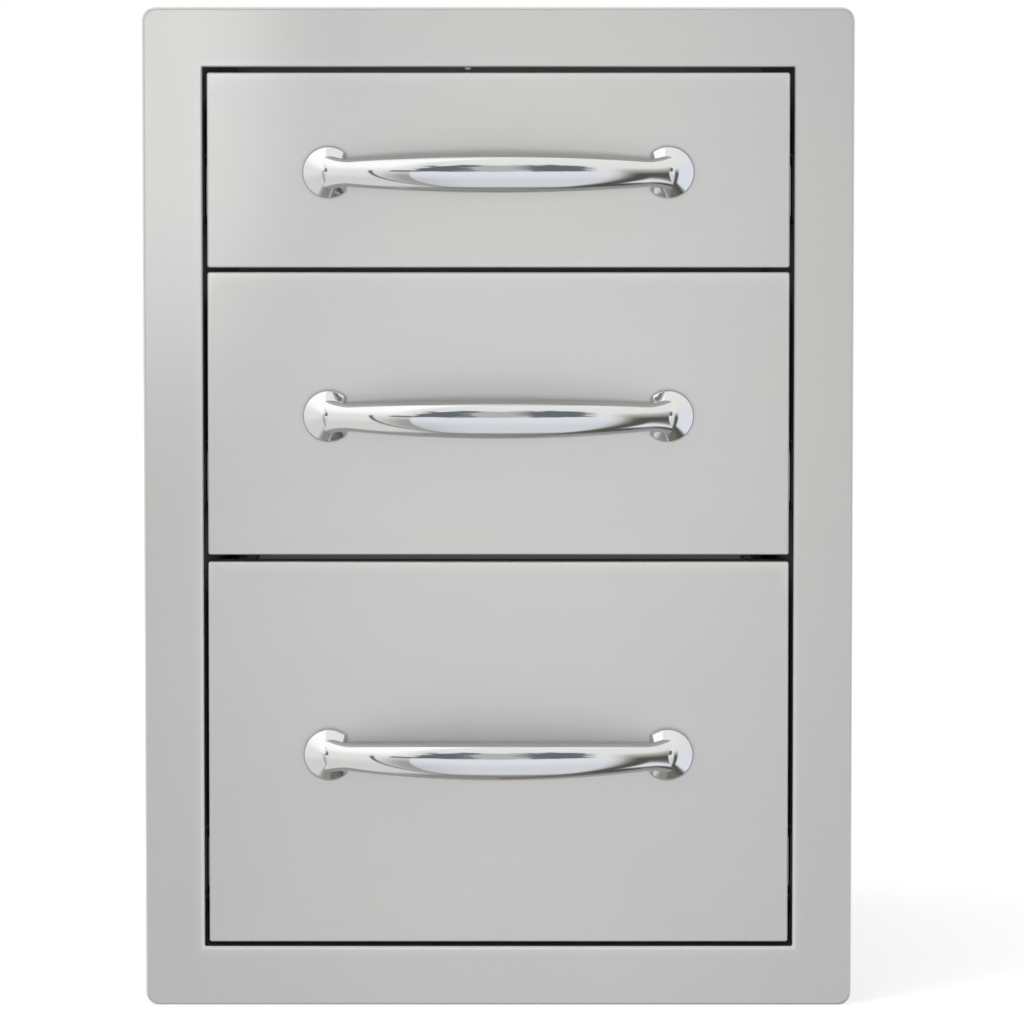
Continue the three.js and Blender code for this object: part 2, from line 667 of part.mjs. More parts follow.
// Ball retainer: a thin channel with the balls held in its two flanges, joined to it as one piece.
function ballRetainer(name, web, ballInset, ballLevel, reach) {
  const channel = [
    new THREE.Vector2(web, 0),
    new THREE.Vector2(web, ballLevel),
    new THREE.Vector2(reach, ballLevel),
  ];
  const strip = slideMember(channel, RETAINER_SHEET, RETAINER_LENGTH);
  const pitch = (RETAINER_LENGTH - 2 * BALL_MARGIN) / (BALLS_PER_ROW - 1);
  const balls = Array.from({ length: BALLS_PER_ROW }, (_, i) => BALL_MARGIN + i * pitch).flatMap((y) =>
    [ballLevel, -ballLevel].map((z) =>
      new THREE.SphereGeometry(BALL_DIAMETER / 2, BALL_SIDES, BALL_RINGS)
        .rotateX(Math.PI / 2)
        .rotateZ(Math.PI / BALL_SIDES)
        .translate(slideOuterFace - ballInset, y, z)
    )
  );
  return part(name, join(strip, ...balls), zincPlate, 0, slideFront + RETAINER_SETBACK, 0);
}

// Release lever: a flat nylon arm with a boss on the pin and a thumb pad at its free end.
function releaseLever(name) {
  const halfArm = LEVER_ARM_HEIGHT / 2;
  const bossAngle = THREE.MathUtils.radToDeg(Math.asin(halfArm / LEVER_BOSS_RADIUS));
  const padAngle = THREE.MathUtils.radToDeg(Math.asin(halfArm / LEVER_PAD_RADIUS));
  const outline = [
    ...arcPoints(0, 0, LEVER_BOSS_RADIUS, -180 + bossAngle, 180 - bossAngle, LEVER_END_STEPS),
    ...arcPoints(-LEVER_LENGTH, 0, LEVER_PAD_RADIUS, padAngle, 360 - padAngle, LEVER_END_STEPS),
  ];
  const shape = new THREE.Shape(outline);
  const hole = arcPoints(0, 0, LEVER_PIN_RADIUS + LEVER_PIN_CLEARANCE, 0, 360, ROUND_SIDES).slice(0, -1);
  shape.holes.push(new THREE.Path(hole));
  const arm = new THREE.ExtrudeGeometry(shape, { depth: LEVER_THICKNESS, bevelEnabled: false });
  arm.rotateX(Math.PI / 2).rotateZ(Math.PI / 2);
  return part(
    name,
    arm,
    blackNylon,
    slideOuterFace - drawerWeb + slideHalfSheet + SEAM_GAP,
    drawerMemberFront + LEVER_PIN_SETBACK,
    0
  );
}

// One side's slide, with its lever. The left slide is the right one turned over.
function slide(drawerName, sideName, level) {
  const group = new THREE.Group();
  const outerWeb = SLIDE_SHEET + RETAINER_GAP + RETAINER_SHEET / 2;
  const innerWeb = intermediateWeb + slideHalfSheet + RETAINER_GAP + RETAINER_SHEET / 2;
  group.add(
    cabinetMember(`${drawerName}_cabinet_member_${sideName}`),
    intermediateMember(`${drawerName}_intermediate_member_${sideName}`),
    drawerMember(`${drawerName}_drawer_member_${sideName}`),
    ballRetainer(
      `${drawerName}_outer_retainer_${sideName}`,
      outerWeb,
      OUTER_RACE_INSET,
      outerBallLevel,
      OUTER_RETAINER_REACH
    ),
    ballRetainer(
      `${drawerName}_inner_retainer_${sideName}`,
      innerWeb,
      INNER_RACE_INSET,
      innerBallLevel,
      INNER_RETAINER_REACH
    ),
    releaseLever(`${drawerName}_release_lever_${sideName}`)
  );
  group.position.z = level;
  if (sideName === "left") group.rotation.y = Math.PI;
  return group;
}

// One drawer with its slides. Its group stands at the lower edge of its front.
function drawer(name, frontHeight, lowerEdge) {
  const group = new THREE.Group();
  const screws = [-HANDLE_CENTRES / 2, HANDLE_CENTRES / 2];
  const middle = frontHeight / 2;
  const handleLevel = middle - HANDLE_DROP;
  const panel = frontPanel(`${name}_front_panel`, frontHeight, screws);
  const liner = frontLiner(`${name}_front_liner`, frontHeight, screws);
  panel.position.z = middle;
  liner.position.z = middle;
  const boxHeight = frontHeight - BOX_FLOOR_RISE - BOX_RIM_DROP;
  const box = drawerBox(`${name}_drawer_box`, boxHeight, screws, handleLevel - BOX_FLOOR_RISE);
  box.position.z = BOX_FLOOR_RISE;
  group.add(panel, liner, box, handle(`${name}_handle`, handleLevel));
  ["left", "right"].forEach((sideName, i) => {
    group.add(handleScrew(`${name}_handle_screw_${sideName}`, screws[i], handleLevel));
    group.add(slide(name, sideName, BOX_FLOOR_RISE + SLIDE_RISE));
  });
  group.position.z = lowerEdge;
  return group;
}

const unit = new THREE.Group();
unit.add(
  faceFrame(),
  casingSide("casing_side_right", 1),
  casingSide("casing_side_left", -1),
  casingCover("casing_top", true),
  casingCover("casing_floor", false),
  casingBack()
);

const bottomEdge = openingBottom + BOTTOM_REVEAL;
const middleEdge = bottomEdge + bottomFrontHeight + LOWER_REVEAL;
const topEdge = middleEdge + MIDDLE_FRONT_HEIGHT + UPPER_REVEAL;
unit.add(
  drawer("bottom", bottomFrontHeight, bottomEdge),
  drawer("middle", MIDDLE_FRONT_HEIGHT, middleEdge),
  drawer("top", TOP_FRONT_HEIGHT, topEdge)
);

export default unit;
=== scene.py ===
"""Visual model of a built-in stainless steel triple drawer for an outdoor kitchen.

Lengths are in millimetres until a mesh is made. X runs to the right, Y to the back and Z up, as in the frame.
"""

import sys
import logging
import math
from collections.abc import Callable
from dataclasses import dataclass
from enum import Enum

import bpy
import numpy as np
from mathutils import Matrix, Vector


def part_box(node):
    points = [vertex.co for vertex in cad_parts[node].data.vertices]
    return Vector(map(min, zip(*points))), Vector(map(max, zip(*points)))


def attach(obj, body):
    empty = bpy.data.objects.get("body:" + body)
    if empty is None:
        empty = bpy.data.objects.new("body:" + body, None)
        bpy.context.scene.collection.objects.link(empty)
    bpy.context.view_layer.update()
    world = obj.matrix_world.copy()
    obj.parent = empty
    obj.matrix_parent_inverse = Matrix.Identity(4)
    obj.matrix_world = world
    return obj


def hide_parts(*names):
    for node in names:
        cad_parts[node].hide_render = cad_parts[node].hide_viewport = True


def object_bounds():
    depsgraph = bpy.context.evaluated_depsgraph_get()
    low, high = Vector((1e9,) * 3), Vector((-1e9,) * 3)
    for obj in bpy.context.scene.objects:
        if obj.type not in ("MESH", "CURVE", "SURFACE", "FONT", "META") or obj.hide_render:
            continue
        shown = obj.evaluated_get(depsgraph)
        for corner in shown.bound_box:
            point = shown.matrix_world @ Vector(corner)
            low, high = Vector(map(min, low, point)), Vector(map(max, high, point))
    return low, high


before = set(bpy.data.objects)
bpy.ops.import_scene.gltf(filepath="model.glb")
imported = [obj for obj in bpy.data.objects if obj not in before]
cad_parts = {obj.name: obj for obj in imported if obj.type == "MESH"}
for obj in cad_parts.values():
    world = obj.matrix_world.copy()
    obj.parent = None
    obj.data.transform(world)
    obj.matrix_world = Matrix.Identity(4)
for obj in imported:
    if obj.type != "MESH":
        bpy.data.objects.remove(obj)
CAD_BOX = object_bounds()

log = logging.getLogger("drawer_unit")

METRES_PER_MM = 0.001
SHARP_DEGREES = 32.0
SUPPORT = 0.12  # of straight sheet kept beside each bend, so that flat faces shade flat
TINY = 1e-6  # keeps a divisor above zero
BEND_STEPS = 8
CORNER_STEPS = 9
ARC_STEPS = 12
HEAD_SIDES = 20
TIGHT_CORNER_RADIUS = 0.8  # the least radius that a pressed corner may have
DRAWER_NAMES = ("bottom", "middle", "top")
SIDES = (("left", -1), ("right", 1))

Material = bpy.types.Material
Piece = bpy.types.Object
Socket = bpy.types.NodeSocket
Triple = tuple[float, float, float]
Pair = tuple[float, float]

ONES: Triple = (1.0, 1.0, 1.0)
WHITE = (*ONES, 1.0)


# Meshes


class Facing(Enum):
    """The way that a turned piece, such as a screw's head, looks: its outward direction."""

    BACK = (0.0, 1.0, 0.0)
    LEFT = (-1.0, 0.0, 0.0)
    RIGHT = (1.0, 0.0, 0.0)

    def axes(self) -> np.ndarray:
        """Gives the piece's own three axes.

        Returns:
            The axes as rows, the third one outwards.
        """
        outward = np.array(self.value)
        upward = np.array([0.0, 0.0, 1.0])
        return np.stack([np.cross(upward, outward), upward, outward])

    @classmethod
    def sideways(cls, side: int) -> "Facing":
        """Gives the way to a side: left for -1 and right for 1."""
        return cls.LEFT if side < 0 else cls.RIGHT


@dataclass(frozen=True)
class Fold:
    """A corner of a folded sheet's section, on the sheet's centre line.

    The inset is measured inwards from the sheet's outer edge, and the level from its datum plane.
    """

    inset: float
    level: float
    radius: float = 0.0

    def at(self) -> np.ndarray:
        """Gives the corner as a point."""
        return np.array([self.inset, self.level])


class Surface:
    """Closed surfaces kept as whole arrays: points in millimetres, and faces as rows of point numbers."""

    def __init__(self) -> None:
        """Starts with nothing in it."""
        self.points = np.empty((0, 3))
        self.faces: list[np.ndarray] = []

    def add(self, points: np.ndarray, faces: list[np.ndarray]) -> "Surface":
        """Adds one closed surface, turned so that its faces point outwards.

        Args:
            points: The points, one row each.
            faces: Arrays of faces, each array holding faces of equally many corners.

        Returns:
            This surface.
        """
        if enclosed_volume(points, faces) < 0:
            faces = [rows[:, ::-1] for rows in faces]
        start = len(self.points)
        self.points = np.vstack([self.points, points])
        self.faces += [rows + start for rows in faces]
        return self

    def add_rings(self, rings: np.ndarray, closed: bool = False) -> "Surface":
        """Skins rings of points with four-cornered faces, from each ring to the next.

        Args:
            rings: An array of rings, by points in a ring, by three.
            closed: Whether the last ring joins the first. Otherwise both end rings are capped.

        Returns:
            This surface.
        """
        count, around = rings.shape[:2]
        number = np.arange(count * around).reshape(count, around)
        here = number if closed else number[:-1]
        there = np.roll(number, -1, axis=0) if closed else number[1:]
        sides = np.stack([here, np.roll(here, -1, axis=1), np.roll(there, -1, axis=1), there], axis=-1)
        faces = [sides.reshape(-1, 4)]
        if not closed:
            faces += [number[:1, ::-1], number[-1:]]
        return self.add(rings.reshape(-1, 3), faces)

    def add_copies(self, pattern: "Surface", places: np.ndarray) -> "Surface":
        """Adds a copy of a pattern at each place, as one array of shifted points.

        Args:
            pattern: The surface to repeat.
            places: The shifts, one row each.

        Returns:
            This surface.
        """
        shifted = (places[:, None, :] + pattern.points[None]).reshape(-1, 3)
        starts = len(self.points) + len(pattern.points) * np.arange(len(places))
        for rows in pattern.faces:
            self.faces.append((starts[:, None, None] + rows[None]).reshape(-1, rows.shape[1]))
        self.points = np.vstack([self.points, shifted])
        return self

    def add_heads(self, places: np.ndarray, radius: float, height: float, facing: Facing) -> "Surface":
        """Adds a domed head at each place.

        Args:
            places: The places, one row each.
            radius: A head's radius.
            height: Its height.
            facing: The way that it looks.

        Returns:
            This surface.
        """
        across, rise = dome_profile(radius, height, edge_share=0.25, last=78, count=6)
        radii = np.broadcast_to(across[:, None], (len(across), HEAD_SIDES))
        return self.add_copies(Surface().add_rings(turned_rings(radii, rise, facing)), places)

    def piece(self, name: str, material: Material, body: str, slot: str = "") -> Piece:
        """Makes the mesh object, smooth but for its sharp edges, and lets it ride on a body.

        Args:
            name: The piece's name.
            material: Its finish.
            body: The body that it moves with.
            slot: Not used.

        Returns:
            The piece.
        """
        mesh = bpy.data.meshes.new(name)
        rows = [row for faces in self.faces for row in faces.tolist()]
        mesh.from_pydata((self.points * METRES_PER_MM).tolist(), [], rows)
        mesh.shade_smooth()
        mesh.set_sharp_from_angle(angle=math.radians(SHARP_DEGREES))
        mesh.materials.append(material)
        made = bpy.data.objects.new(name, mesh)
        bpy.context.scene.collection.objects.link(made)
        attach(made, body)
        log.info("%s: %d faces on %s", name, len(rows), body)
        return made

    def stand_in(self, node: str, name: str, material: Material, body: str, slot: str) -> Piece:
        """Makes the piece and puts it in the place of a node.

        Args:
            node: The node.
            name: The piece's name.
            material: Its finish.
            body: The body that it moves with.
            slot: The record's material slot.

        Returns:
            The piece.
        """
        made = self.piece(name, material, body, slot)
        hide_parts(node)
        return made


def enclosed_volume(points: np.ndarray, faces: list[np.ndarray]) -> float:
    """Adds up the tetrahedra from the origin to each face's fan of triangles.

    Args:
        points: The points, one row each.
        faces: Arrays of faces of equally many corners.

    Returns:
        Six times the volume, above zero where the faces point outwards.
    """
    total = 0.0
    for rows in faces:
        first = points[rows[:, 0]]
        for corner in range(1, rows.shape[1] - 1):
            across = np.cross(points[rows[:, corner]], points[rows[:, corner + 1]])
            total += float(np.einsum("ij,ij->", first, across))
    return total


def unit(vector: np.ndarray) -> np.ndarray:
    """Scales a vector to a length of one."""
    return vector / np.linalg.norm(vector)


def arc(middle: np.ndarray, radius: float, first: float, last: float, steps: int = ARC_STEPS) -> np.ndarray:
    """Gives points on a circle: its middle plus the radius times the cosine and sine of evenly spaced angles.

    Args:
        middle: The circle's middle.
        radius: Its radius.
        first: The first angle in degrees.
        last: The last angle in degrees.
        steps: How many steps lie between them.

    Returns:
        The points, one row each.
    """
    angles = np.radians(np.linspace(first, last, steps + 1))
    return np.asarray(middle) + radius * np.stack([np.cos(angles), np.sin(angles)], axis=-1)


def folded_line(folds: list[Fold]) -> np.ndarray:
    """Gives the centre line of a folded sheet.

    Each inner corner is an arc of its radius that touches both straights. The circle's middle lies on the
    corner's bisector, at the radius over the sine of half the corner. A short support lies on either side.

    Args:
        folds: The corners in order. The first and the last one are the line's ends.

    Returns:
        The points, one row each.
    """
    line = [folds[0].at()[None]]
    for before, fold, after in zip(folds, folds[1:], folds[2:]):
        back = unit(before.at() - fold.at())
        on = unit(after.at() - fold.at())
        half = math.acos(float(np.dot(back, on))) / 2
        middle = fold.at() + unit(back + on) * fold.radius / math.sin(half)
        start = fold.at() + back * fold.radius / math.tan(half)
        end = fold.at() + on * fold.radius / math.tan(half)
        lean = math.degrees(math.atan2(*(start - middle)[::-1]))
        turn = math.copysign(180 - 2 * math.degrees(half), float(on[0] * back[1] - on[1] * back[0]))
        line += [
            (start + back * SUPPORT)[None],
            arc(middle, fold.radius, lean, lean + turn, BEND_STEPS),
            (end + on * SUPPORT)[None],
        ]
    line.append(folds[-1].at()[None])
    return np.vstack(line)


def sheet_outline(line: np.ndarray, sheet: float) -> np.ndarray:
    """Gives the outline of a sheet along its centre line: half the sheet to one side, and back on the other.

    Args:
        line: The centre line's points.
        sheet: The sheet's thickness.

    Returns:
        The outline's points, one row each.
    """
    along = np.gradient(line, axis=0)
    along /= np.linalg.norm(along, axis=1, keepdims=True)
    across = np.stack([-along[:, 1], along[:, 0]], axis=-1) * sheet / 2
    return np.vstack([line + across, (line - across)[::-1]])


def pressed_rings(section: np.ndarray, width: float, height: float, corner_radius: float) -> np.ndarray:
    """Carries a section round a rounded rectangle, one ring for each of its points.

    Ring k is the rectangle drawn in by the point's inset, with its corner radius less by as much, and lies at
    the point's level. A corner's points are the corner circle's middle plus its radius times the cosine and
    sine of angles that run through that quarter.

    Args:
        section: Rows of inset and level.
        width: The rectangle's width.
        height: The rectangle's height.
        corner_radius: Its corner radius.

    Returns:
        The rings, with the rectangle in X and Y and the level as Z.
    """
    inset, level = section.T
    radius = np.maximum(corner_radius - inset, TIGHT_CORNER_RADIUS)
    half = np.stack([width / 2 - inset - radius, height / 2 - inset - radius], axis=-1)
    quarter = np.arange(4)
    towards = np.array([[1, 1], [-1, 1], [-1, -1], [1, -1]])
    angles = np.pi / 2 * (quarter[:, None] + np.linspace(0, 1, CORNER_STEPS + 1))
    round_corner = np.stack([np.cos(angles), np.sin(angles)], axis=-1)
    flat = half[:, None, None] * towards[:, None] + radius[:, None, None, None] * round_corner
    flat = flat.reshape(len(section), -1, 2)
    heights = np.broadcast_to(level[:, None, None], flat.shape[:2] + (1,))
    return np.concatenate([flat, heights], axis=-1)


def dome_profile(
    radius: float, height: float, edge_share: float, last: float, count: int
) -> tuple[np.ndarray, np.ndarray]:
    """Gives a dome's profile: an upright edge, then a quarter of an ellipse up to a small flat.

    Args:
        radius: The dome's radius.
        height: Its height.
        edge_share: How much of its height is the upright edge.
        last: The ellipse's last angle in degrees.
        count: How many points the ellipse has.

    Returns:
        The radii and the heights.
    """
    lean = np.radians(np.linspace(0, last, count))
    radii = np.append(radius, radius * np.cos(lean))
    return radii, np.append(0.0, height * (edge_share + (1 - edge_share) * np.sin(lean)))


def stood_up(rings: np.ndarray, middle: np.ndarray) -> np.ndarray:
    """Turns rings drawn lying on their back upright, with their level towards the front.

    Args:
        rings: The rings, with their level as Z.
        middle: Where the middle of the datum plane goes.

    Returns:
        The turned rings.
    """
    return np.stack([rings[..., 0], -rings[..., 2], rings[..., 1]], axis=-1) + middle


def turned_rings(
    radii: np.ndarray, heights: np.ndarray, facing: Facing, place: np.ndarray | float = 0.0
) -> np.ndarray:
    """Turns a profile about an axis: radius times cosine and sine across it, and the height along it.

    Args:
        radii: The radii, as rings by points in a ring.
        heights: The height of each ring.
        facing: Where the axis points.
        place: Where the axis starts.

    Returns:
        The rings.
    """
    angles = np.linspace(0, 2 * np.pi, radii.shape[1], endpoint=False)
    rise = np.broadcast_to(heights[:, None], radii.shape)
    own = np.stack([radii * np.cos(angles), radii * np.sin(angles), rise], axis=-1)
    return own @ facing.axes() + place


def cad_box(node: str) -> np.ndarray:
    """Gives a node's lowest and highest corner in millimetres."""
    return np.array(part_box(node)) / METRES_PER_MM


def dress_nodes(nodes: list[str], material: Material) -> None:
    """Gives nodes that keep their own shape a finish.

    Args:
        nodes: The nodes' names.
        material: The finish.
    """
    for node in nodes:
        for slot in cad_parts[node].material_slots:
            slot.material = material
        log.info("%s: kept, in %s", node, material.name)


# Finishes


def operation(name: str, flipped: bool = False) -> Callable[..., "Value"]:
    """Makes a method of Value that adds a Math node.

    Args:
        name: The node's operation.
        flipped: Whether the value is the last term instead of the first.

    Returns:
        The method.
    """

    def method(value: "Value", *others: "Value | float") -> "Value":
        """Adds the node to the value's tree."""
        terms = (*others, value) if flipped else (value, *others)
        return value.tree.maths(name, *terms)

    return method


class Value:
    """A number that varies over a surface. Sums on it add Math nodes to its tree."""

    __add__ = operation("ADD")
    __radd__ = operation("ADD", flipped=True)
    __sub__ = operation("SUBTRACT")
    __rsub__ = operation("SUBTRACT", flipped=True)
    __mul__ = operation("MULTIPLY")
    __rmul__ = operation("MULTIPLY", flipped=True)
    __truediv__ = operation("DIVIDE")
    size = operation("ABSOLUTE")
    least = operation("MINIMUM")
    most = operation("MAXIMUM")

    def __init__(self, tree: "Tree", socket: Socket) -> None:
        """Wraps an output socket."""
        self.tree = tree
        self.socket = socket

    def rise(self, low: float, high: float) -> "Value":
        """Goes smoothly from 0 at one value to 1 at another.

        Args:
            low: The value that gives 0.
            high: The value that gives 1.

        Returns:
            The smoothed value.
        """
        settings = {"interpolation_type": "SMOOTHSTEP"}
        inputs = {"Value": self, "From Min": low, "From Max": high}
        return self.tree.value("ShaderNodeMapRange", settings, inputs)


class Tree:
    """The node tree of a finish or of the world."""

    def __init__(self, tree: bpy.types.NodeTree) -> None:
        """Empties the tree."""
        self.tree = tree
        tree.nodes.clear()

    def node(self, kind: str, settings: dict | None = None, inputs: dict | None = None) -> bpy.types.Node:
        """Adds one node: its settings first, then the values or links of its sockets.

        Args:
            kind: The node's type.
            settings: Its settings by name.
            inputs: Its sockets by name or number, each with a number, a tuple, a Value or a socket.

        Returns:
            The node.
        """
        made = self.tree.nodes.new(kind)
        for name, setting in (settings or {}).items():
            setattr(made, name, setting)
        for key, given in (inputs or {}).items():
            socket = given.socket if isinstance(given, Value) else given
            if isinstance(socket, Socket):
                self.tree.links.new(socket, made.inputs[key])
            else:
                made.inputs[key].default_value = socket
        return made

    def value(self, kind: str, settings: dict | None = None, inputs: dict | None = None) -> Value:
        """Adds one node and wraps its first output."""
        return Value(self, self.node(kind, settings, inputs).outputs[0])

    def maths(self, operation_name: str, *terms: "Value | float") -> Value:
        """Adds a Math node."""
        return self.value("ShaderNodeMath", {"operation": operation_name}, dict(enumerate(terms)))

    def split(self, vector: Socket) -> list[Value]:
        """Takes a vector's three numbers apart."""
        apart = self.node("ShaderNodeSeparateXYZ", None, {0: vector})
        return [Value(self, socket) for socket in apart.outputs]

    def blend(self, share: "Value | float", low: object, high: object, way: str = "MIX") -> Socket:
        """Blends two colours.

        Args:
            share: How much of the second colour there is.
            low: The first colour.
            high: The second colour.
            way: The kind of blend.

        Returns:
            The colour's socket.
        """
        settings = {"data_type": "RGBA", "blend_type": way}
        factor, first, second, result = 0, 6, 7, 2
        inputs = {factor: share}
        for slot, colour in ((first, low), (second, high)):
            inputs[slot] = (*colour, 1.0) if isinstance(colour, tuple) else colour
        return self.node("ShaderNodeMix", settings, inputs).outputs[result]

    def shaded(self, colour: object, level: Value) -> Socket:
        """Multiplies a colour by a level that is about 1."""
        grey = self.node("ShaderNodeCombineColor", None, {0: level, 1: level, 2: level}).outputs[0]
        return self.blend(1.0, colour, grey, "MULTIPLY")

    def places(self, stretch: Triple = ONES, shift: Triple = (0.0, 0.0, 0.0)) -> Socket:
        """Gives the piece's own coordinates.

        Args:
            stretch: The scale along each axis.
            shift: The shift along each axis, after the scale.

        Returns:
            The coordinates' socket.
        """
        own = self.node("ShaderNodeTexCoord").outputs["Object"]
        inputs = {"Vector": own, "Scale": stretch, "Location": shift}
        return self.node("ShaderNodeMapping", None, inputs).outputs[0]

    def noise(self, at: Socket, scale: float, detail: float = 2.0, fineness: float = 0.5) -> Value:
        """Gives noise from 0 to 1 about a half.

        Args:
            at: The coordinates.
            scale: How many cells lie in a unit of them.
            detail: How many finer layers are added.
            fineness: How strong the finer layers are.

        Returns:
            The noise.
        """
        inputs = {"Vector": at, "Scale": scale, "Detail": detail, "Roughness": fineness}
        return self.value("ShaderNodeTexNoise", {"noise_dimensions": "3D"}, inputs)

    def bump(self, height: Value, depth: float, strength: float) -> Socket:
        """Turns a height of 0 to 1 into a bent normal.

        Args:
            height: The height.
            depth: How deep a height of 1 is.
            strength: How strongly the normal follows it.

        Returns:
            The normal's socket.
        """
        inputs = {"Height": height, "Distance": depth * METRES_PER_MM, "Strength": strength}
        return self.node("ShaderNodeBump", None, inputs).outputs[0]

    def mixed(self, share: object, first: bpy.types.Node, second: bpy.types.Node) -> bpy.types.Node:
        """Mixes two shaders, with as much of the second one as the share says."""
        return self.node("ShaderNodeMixShader", None, {0: share, 1: first.outputs[0], 2: second.outputs[0]})

    def output(self, shader: bpy.types.Node, kind: str = "ShaderNodeOutputMaterial") -> None:
        """Joins a shader to the tree's output."""
        self.node(kind, None, {"Surface": shader.outputs[0]})


@dataclass(frozen=True)
class Layer:
    """A pattern of noise from 0 to 1, and how much it counts in a finish's level, roughness and relief."""

    scale: float = 1.0  # cells in a metre, over the stretch
    stretch: Triple = ONES
    detail: float = 2.0
    fineness: float = 0.5
    level: float = 0.0
    roughness: float = 0.0
    relief: float = 0.0


@dataclass(frozen=True)
class Panel:
    """An upright rectangle: its middle, and half its width and height."""

    middle: Triple
    half_width: float
    half_height: float

    @classmethod
    def face(cls, node: str, margin: float = 0.0) -> "Panel":
        """Gives the front of a node's box.

        Args:
            node: The node.
            margin: How far its edges are drawn in.

        Returns:
            The panel.
        """
        low, high = cad_box(node).tolist()
        middle = ((low[0] + high[0]) / 2, low[1], (low[2] + high[2]) / 2)
        return cls(middle, (high[0] - low[0]) / 2 - margin, (high[2] - low[2]) / 2 - margin)


@dataclass(frozen=True)
class PaintedSheen:
    """A painted highlight: a lightening of a brushed sheet's colour towards the edges of a panel, in place of
    the light that its bent edges catch.

    How strong it is at an edge is the level times a share: the even share plus the places across and up in
    the panel, from -1 to 1, each times its own share, and held between 0 and 1.
    """

    panel: Panel
    width: float
    level: float
    even_share: float = 1.0
    across_share: float = 0.0
    up_share: float = 0.0
    spread_behind: float = 2.0  # how much further it reaches behind the face

    def lift(self, tree: Tree) -> Value:
        """Gives the painted highlight, which falls smoothly to 0 at its width from the edges, and behind the
        face.

        Args:
            tree: The material's tree.

        Returns:
            The painted highlight.
        """
        scale = 1.0 / METRES_PER_MM
        shift = tuple(-place for place in self.panel.middle)
        across, behind, up = tree.split(tree.places((scale, scale, scale), shift))
        outside = (across.size() - self.panel.half_width).most(up.size() - self.panel.half_height)
        share = self.even_share + across * (self.across_share / self.panel.half_width)
        share = (share + up * (self.up_share / self.panel.half_height)).most(0.0).least(1.0)
        near = 1.0 - outside.size().most(behind / self.spread_behind).rise(0.0, self.width)
        return self.level * share * near


def new_finish(name: str) -> tuple[Material, Tree]:
    """Makes an empty material.

    Args:
        name: Its name.

    Returns:
        The material and its tree.
    """
    material = bpy.data.materials.new(name)
    material.use_nodes = True
    return material, Tree(material.node_tree)


def weighed(middle: Value | float, weights: list[float], values: list[Value]) -> Value | float:
    """Adds values, each times its weight, to a middle one."""
    return sum((weight * value for weight, value in zip(weights, values) if weight), middle)


@dataclass(frozen=True)
class Finish:
    """A finish of the Principled shader.

    Its level and roughness are each a middle value plus the layers' patterns, less a half, times their
    weights. The last layer's pattern also lays the tint over the tone, between the two ends of its span.
    """

    tone: Triple
    tint: Triple
    tint_span: Pair
    roughness: float
    relief: Pair  # its depth and its strength
    layers: tuple[Layer, ...]
    level: float = 1.0
    brightness: float = 1.0
    metallic: float = 1.0
    tint_roughness: float = 0.0
    # a lightened edge is one where highlight is painted into the colour
    polish: float = 0.3  # how much smoother a lightened edge is
    seed: float = 0.0  # shifts the layers

    def make(self, name: str) -> Material:
        """Makes the material.

        Args:
            name: Its name.

        Returns:
            The material.
        """
        material, tree = new_finish(name)
        patterns = []
        for layer in self.layers:
            at = tree.places(layer.stretch, (self.seed,) * 3)
            patterns.append(tree.noise(at, layer.scale, layer.detail, layer.fineness))
        centred = [pattern - 0.5 for pattern in patterns]
        level = weighed(self.level, [layer.level for layer in self.layers], centred)
        roughness = weighed(self.roughness, [layer.roughness for layer in self.layers], centred)
        # the painted highlight near the edges, added to the colour's level
        edge = self.painted_highlight(tree)
        inputs = {
            "Base Color": tree.shaded(self.colour(tree, patterns), (level + edge) * self.brightness),
            "Metallic": self.metallic,
            "Roughness": roughness + self.tint_roughness * self.tint_share(patterns) - self.polish * edge,
            "Normal": self.normal(tree, patterns),
        }
        tree.output(tree.node("ShaderNodeBsdfPrincipled", None, inputs))
        return material

    def tint_share(self, patterns: list[Value]) -> Value:
        """Gives how much of the tint there is."""
        return patterns[-1].rise(*self.tint_span)

    def colour(self, tree: Tree, patterns: list[Value]) -> Socket:
        """Lays the tint over the tone."""
        return tree.blend(self.tint_share(patterns), self.tone, self.tint)

    def painted_highlight(self, tree: Tree) -> Value | float:
        """Gives the painted highlight that is added to the level near the edges, here nothing."""
        return 0.0

    def normal(self, tree: Tree, patterns: list[Value]) -> Socket:
        """Bends the normal by the sum of the patterns times their weights."""
        height = weighed(0.0, [layer.relief for layer in self.layers], patterns)
        return tree.bump(height, *self.relief)


@dataclass(frozen=True)
class BrushedSteel(Finish):
    """Satin stainless sheet: a fine grain along X, soft clouds from rolling, and highlights painted along its
    edges.
    """

    tone: Triple = (0.650, 0.6416, 0.6132)
    tint: Triple = (0.647, 0.635, 0.6228)
    tint_span: Pair = (0.35, 0.65)
    roughness: float = 0.46
    relief: Pair = (0.004, 0.25)
    layers: tuple[Layer, ...] = (
        Layer(stretch=(11.0, 2100.0, 2100.0), detail=3.0, level=0.03, roughness=0.06, relief=1.0),
        Layer(stretch=(11.0, 420.0, 420.0), level=0.02, relief=0.6),
        Layer(7.0, level=0.10, roughness=0.05),
        Layer(34.0, (0.7, 1.0, 1.0), detail=3.0, fineness=0.6, level=0.03),
        Layer(3.5, (1.0, 1.0, 1.5), detail=1.0),
    )
    level: float = 0.985
    brightness: float = 0.88
    # the highlights painted along the sheet's edges
    sheens: tuple[PaintedSheen, ...] = ()

    def painted_highlight(self, tree: Tree) -> Value:
        """Adds up the painted highlights."""
        return sum(sheen.lift(tree) for sheen in self.sheens)


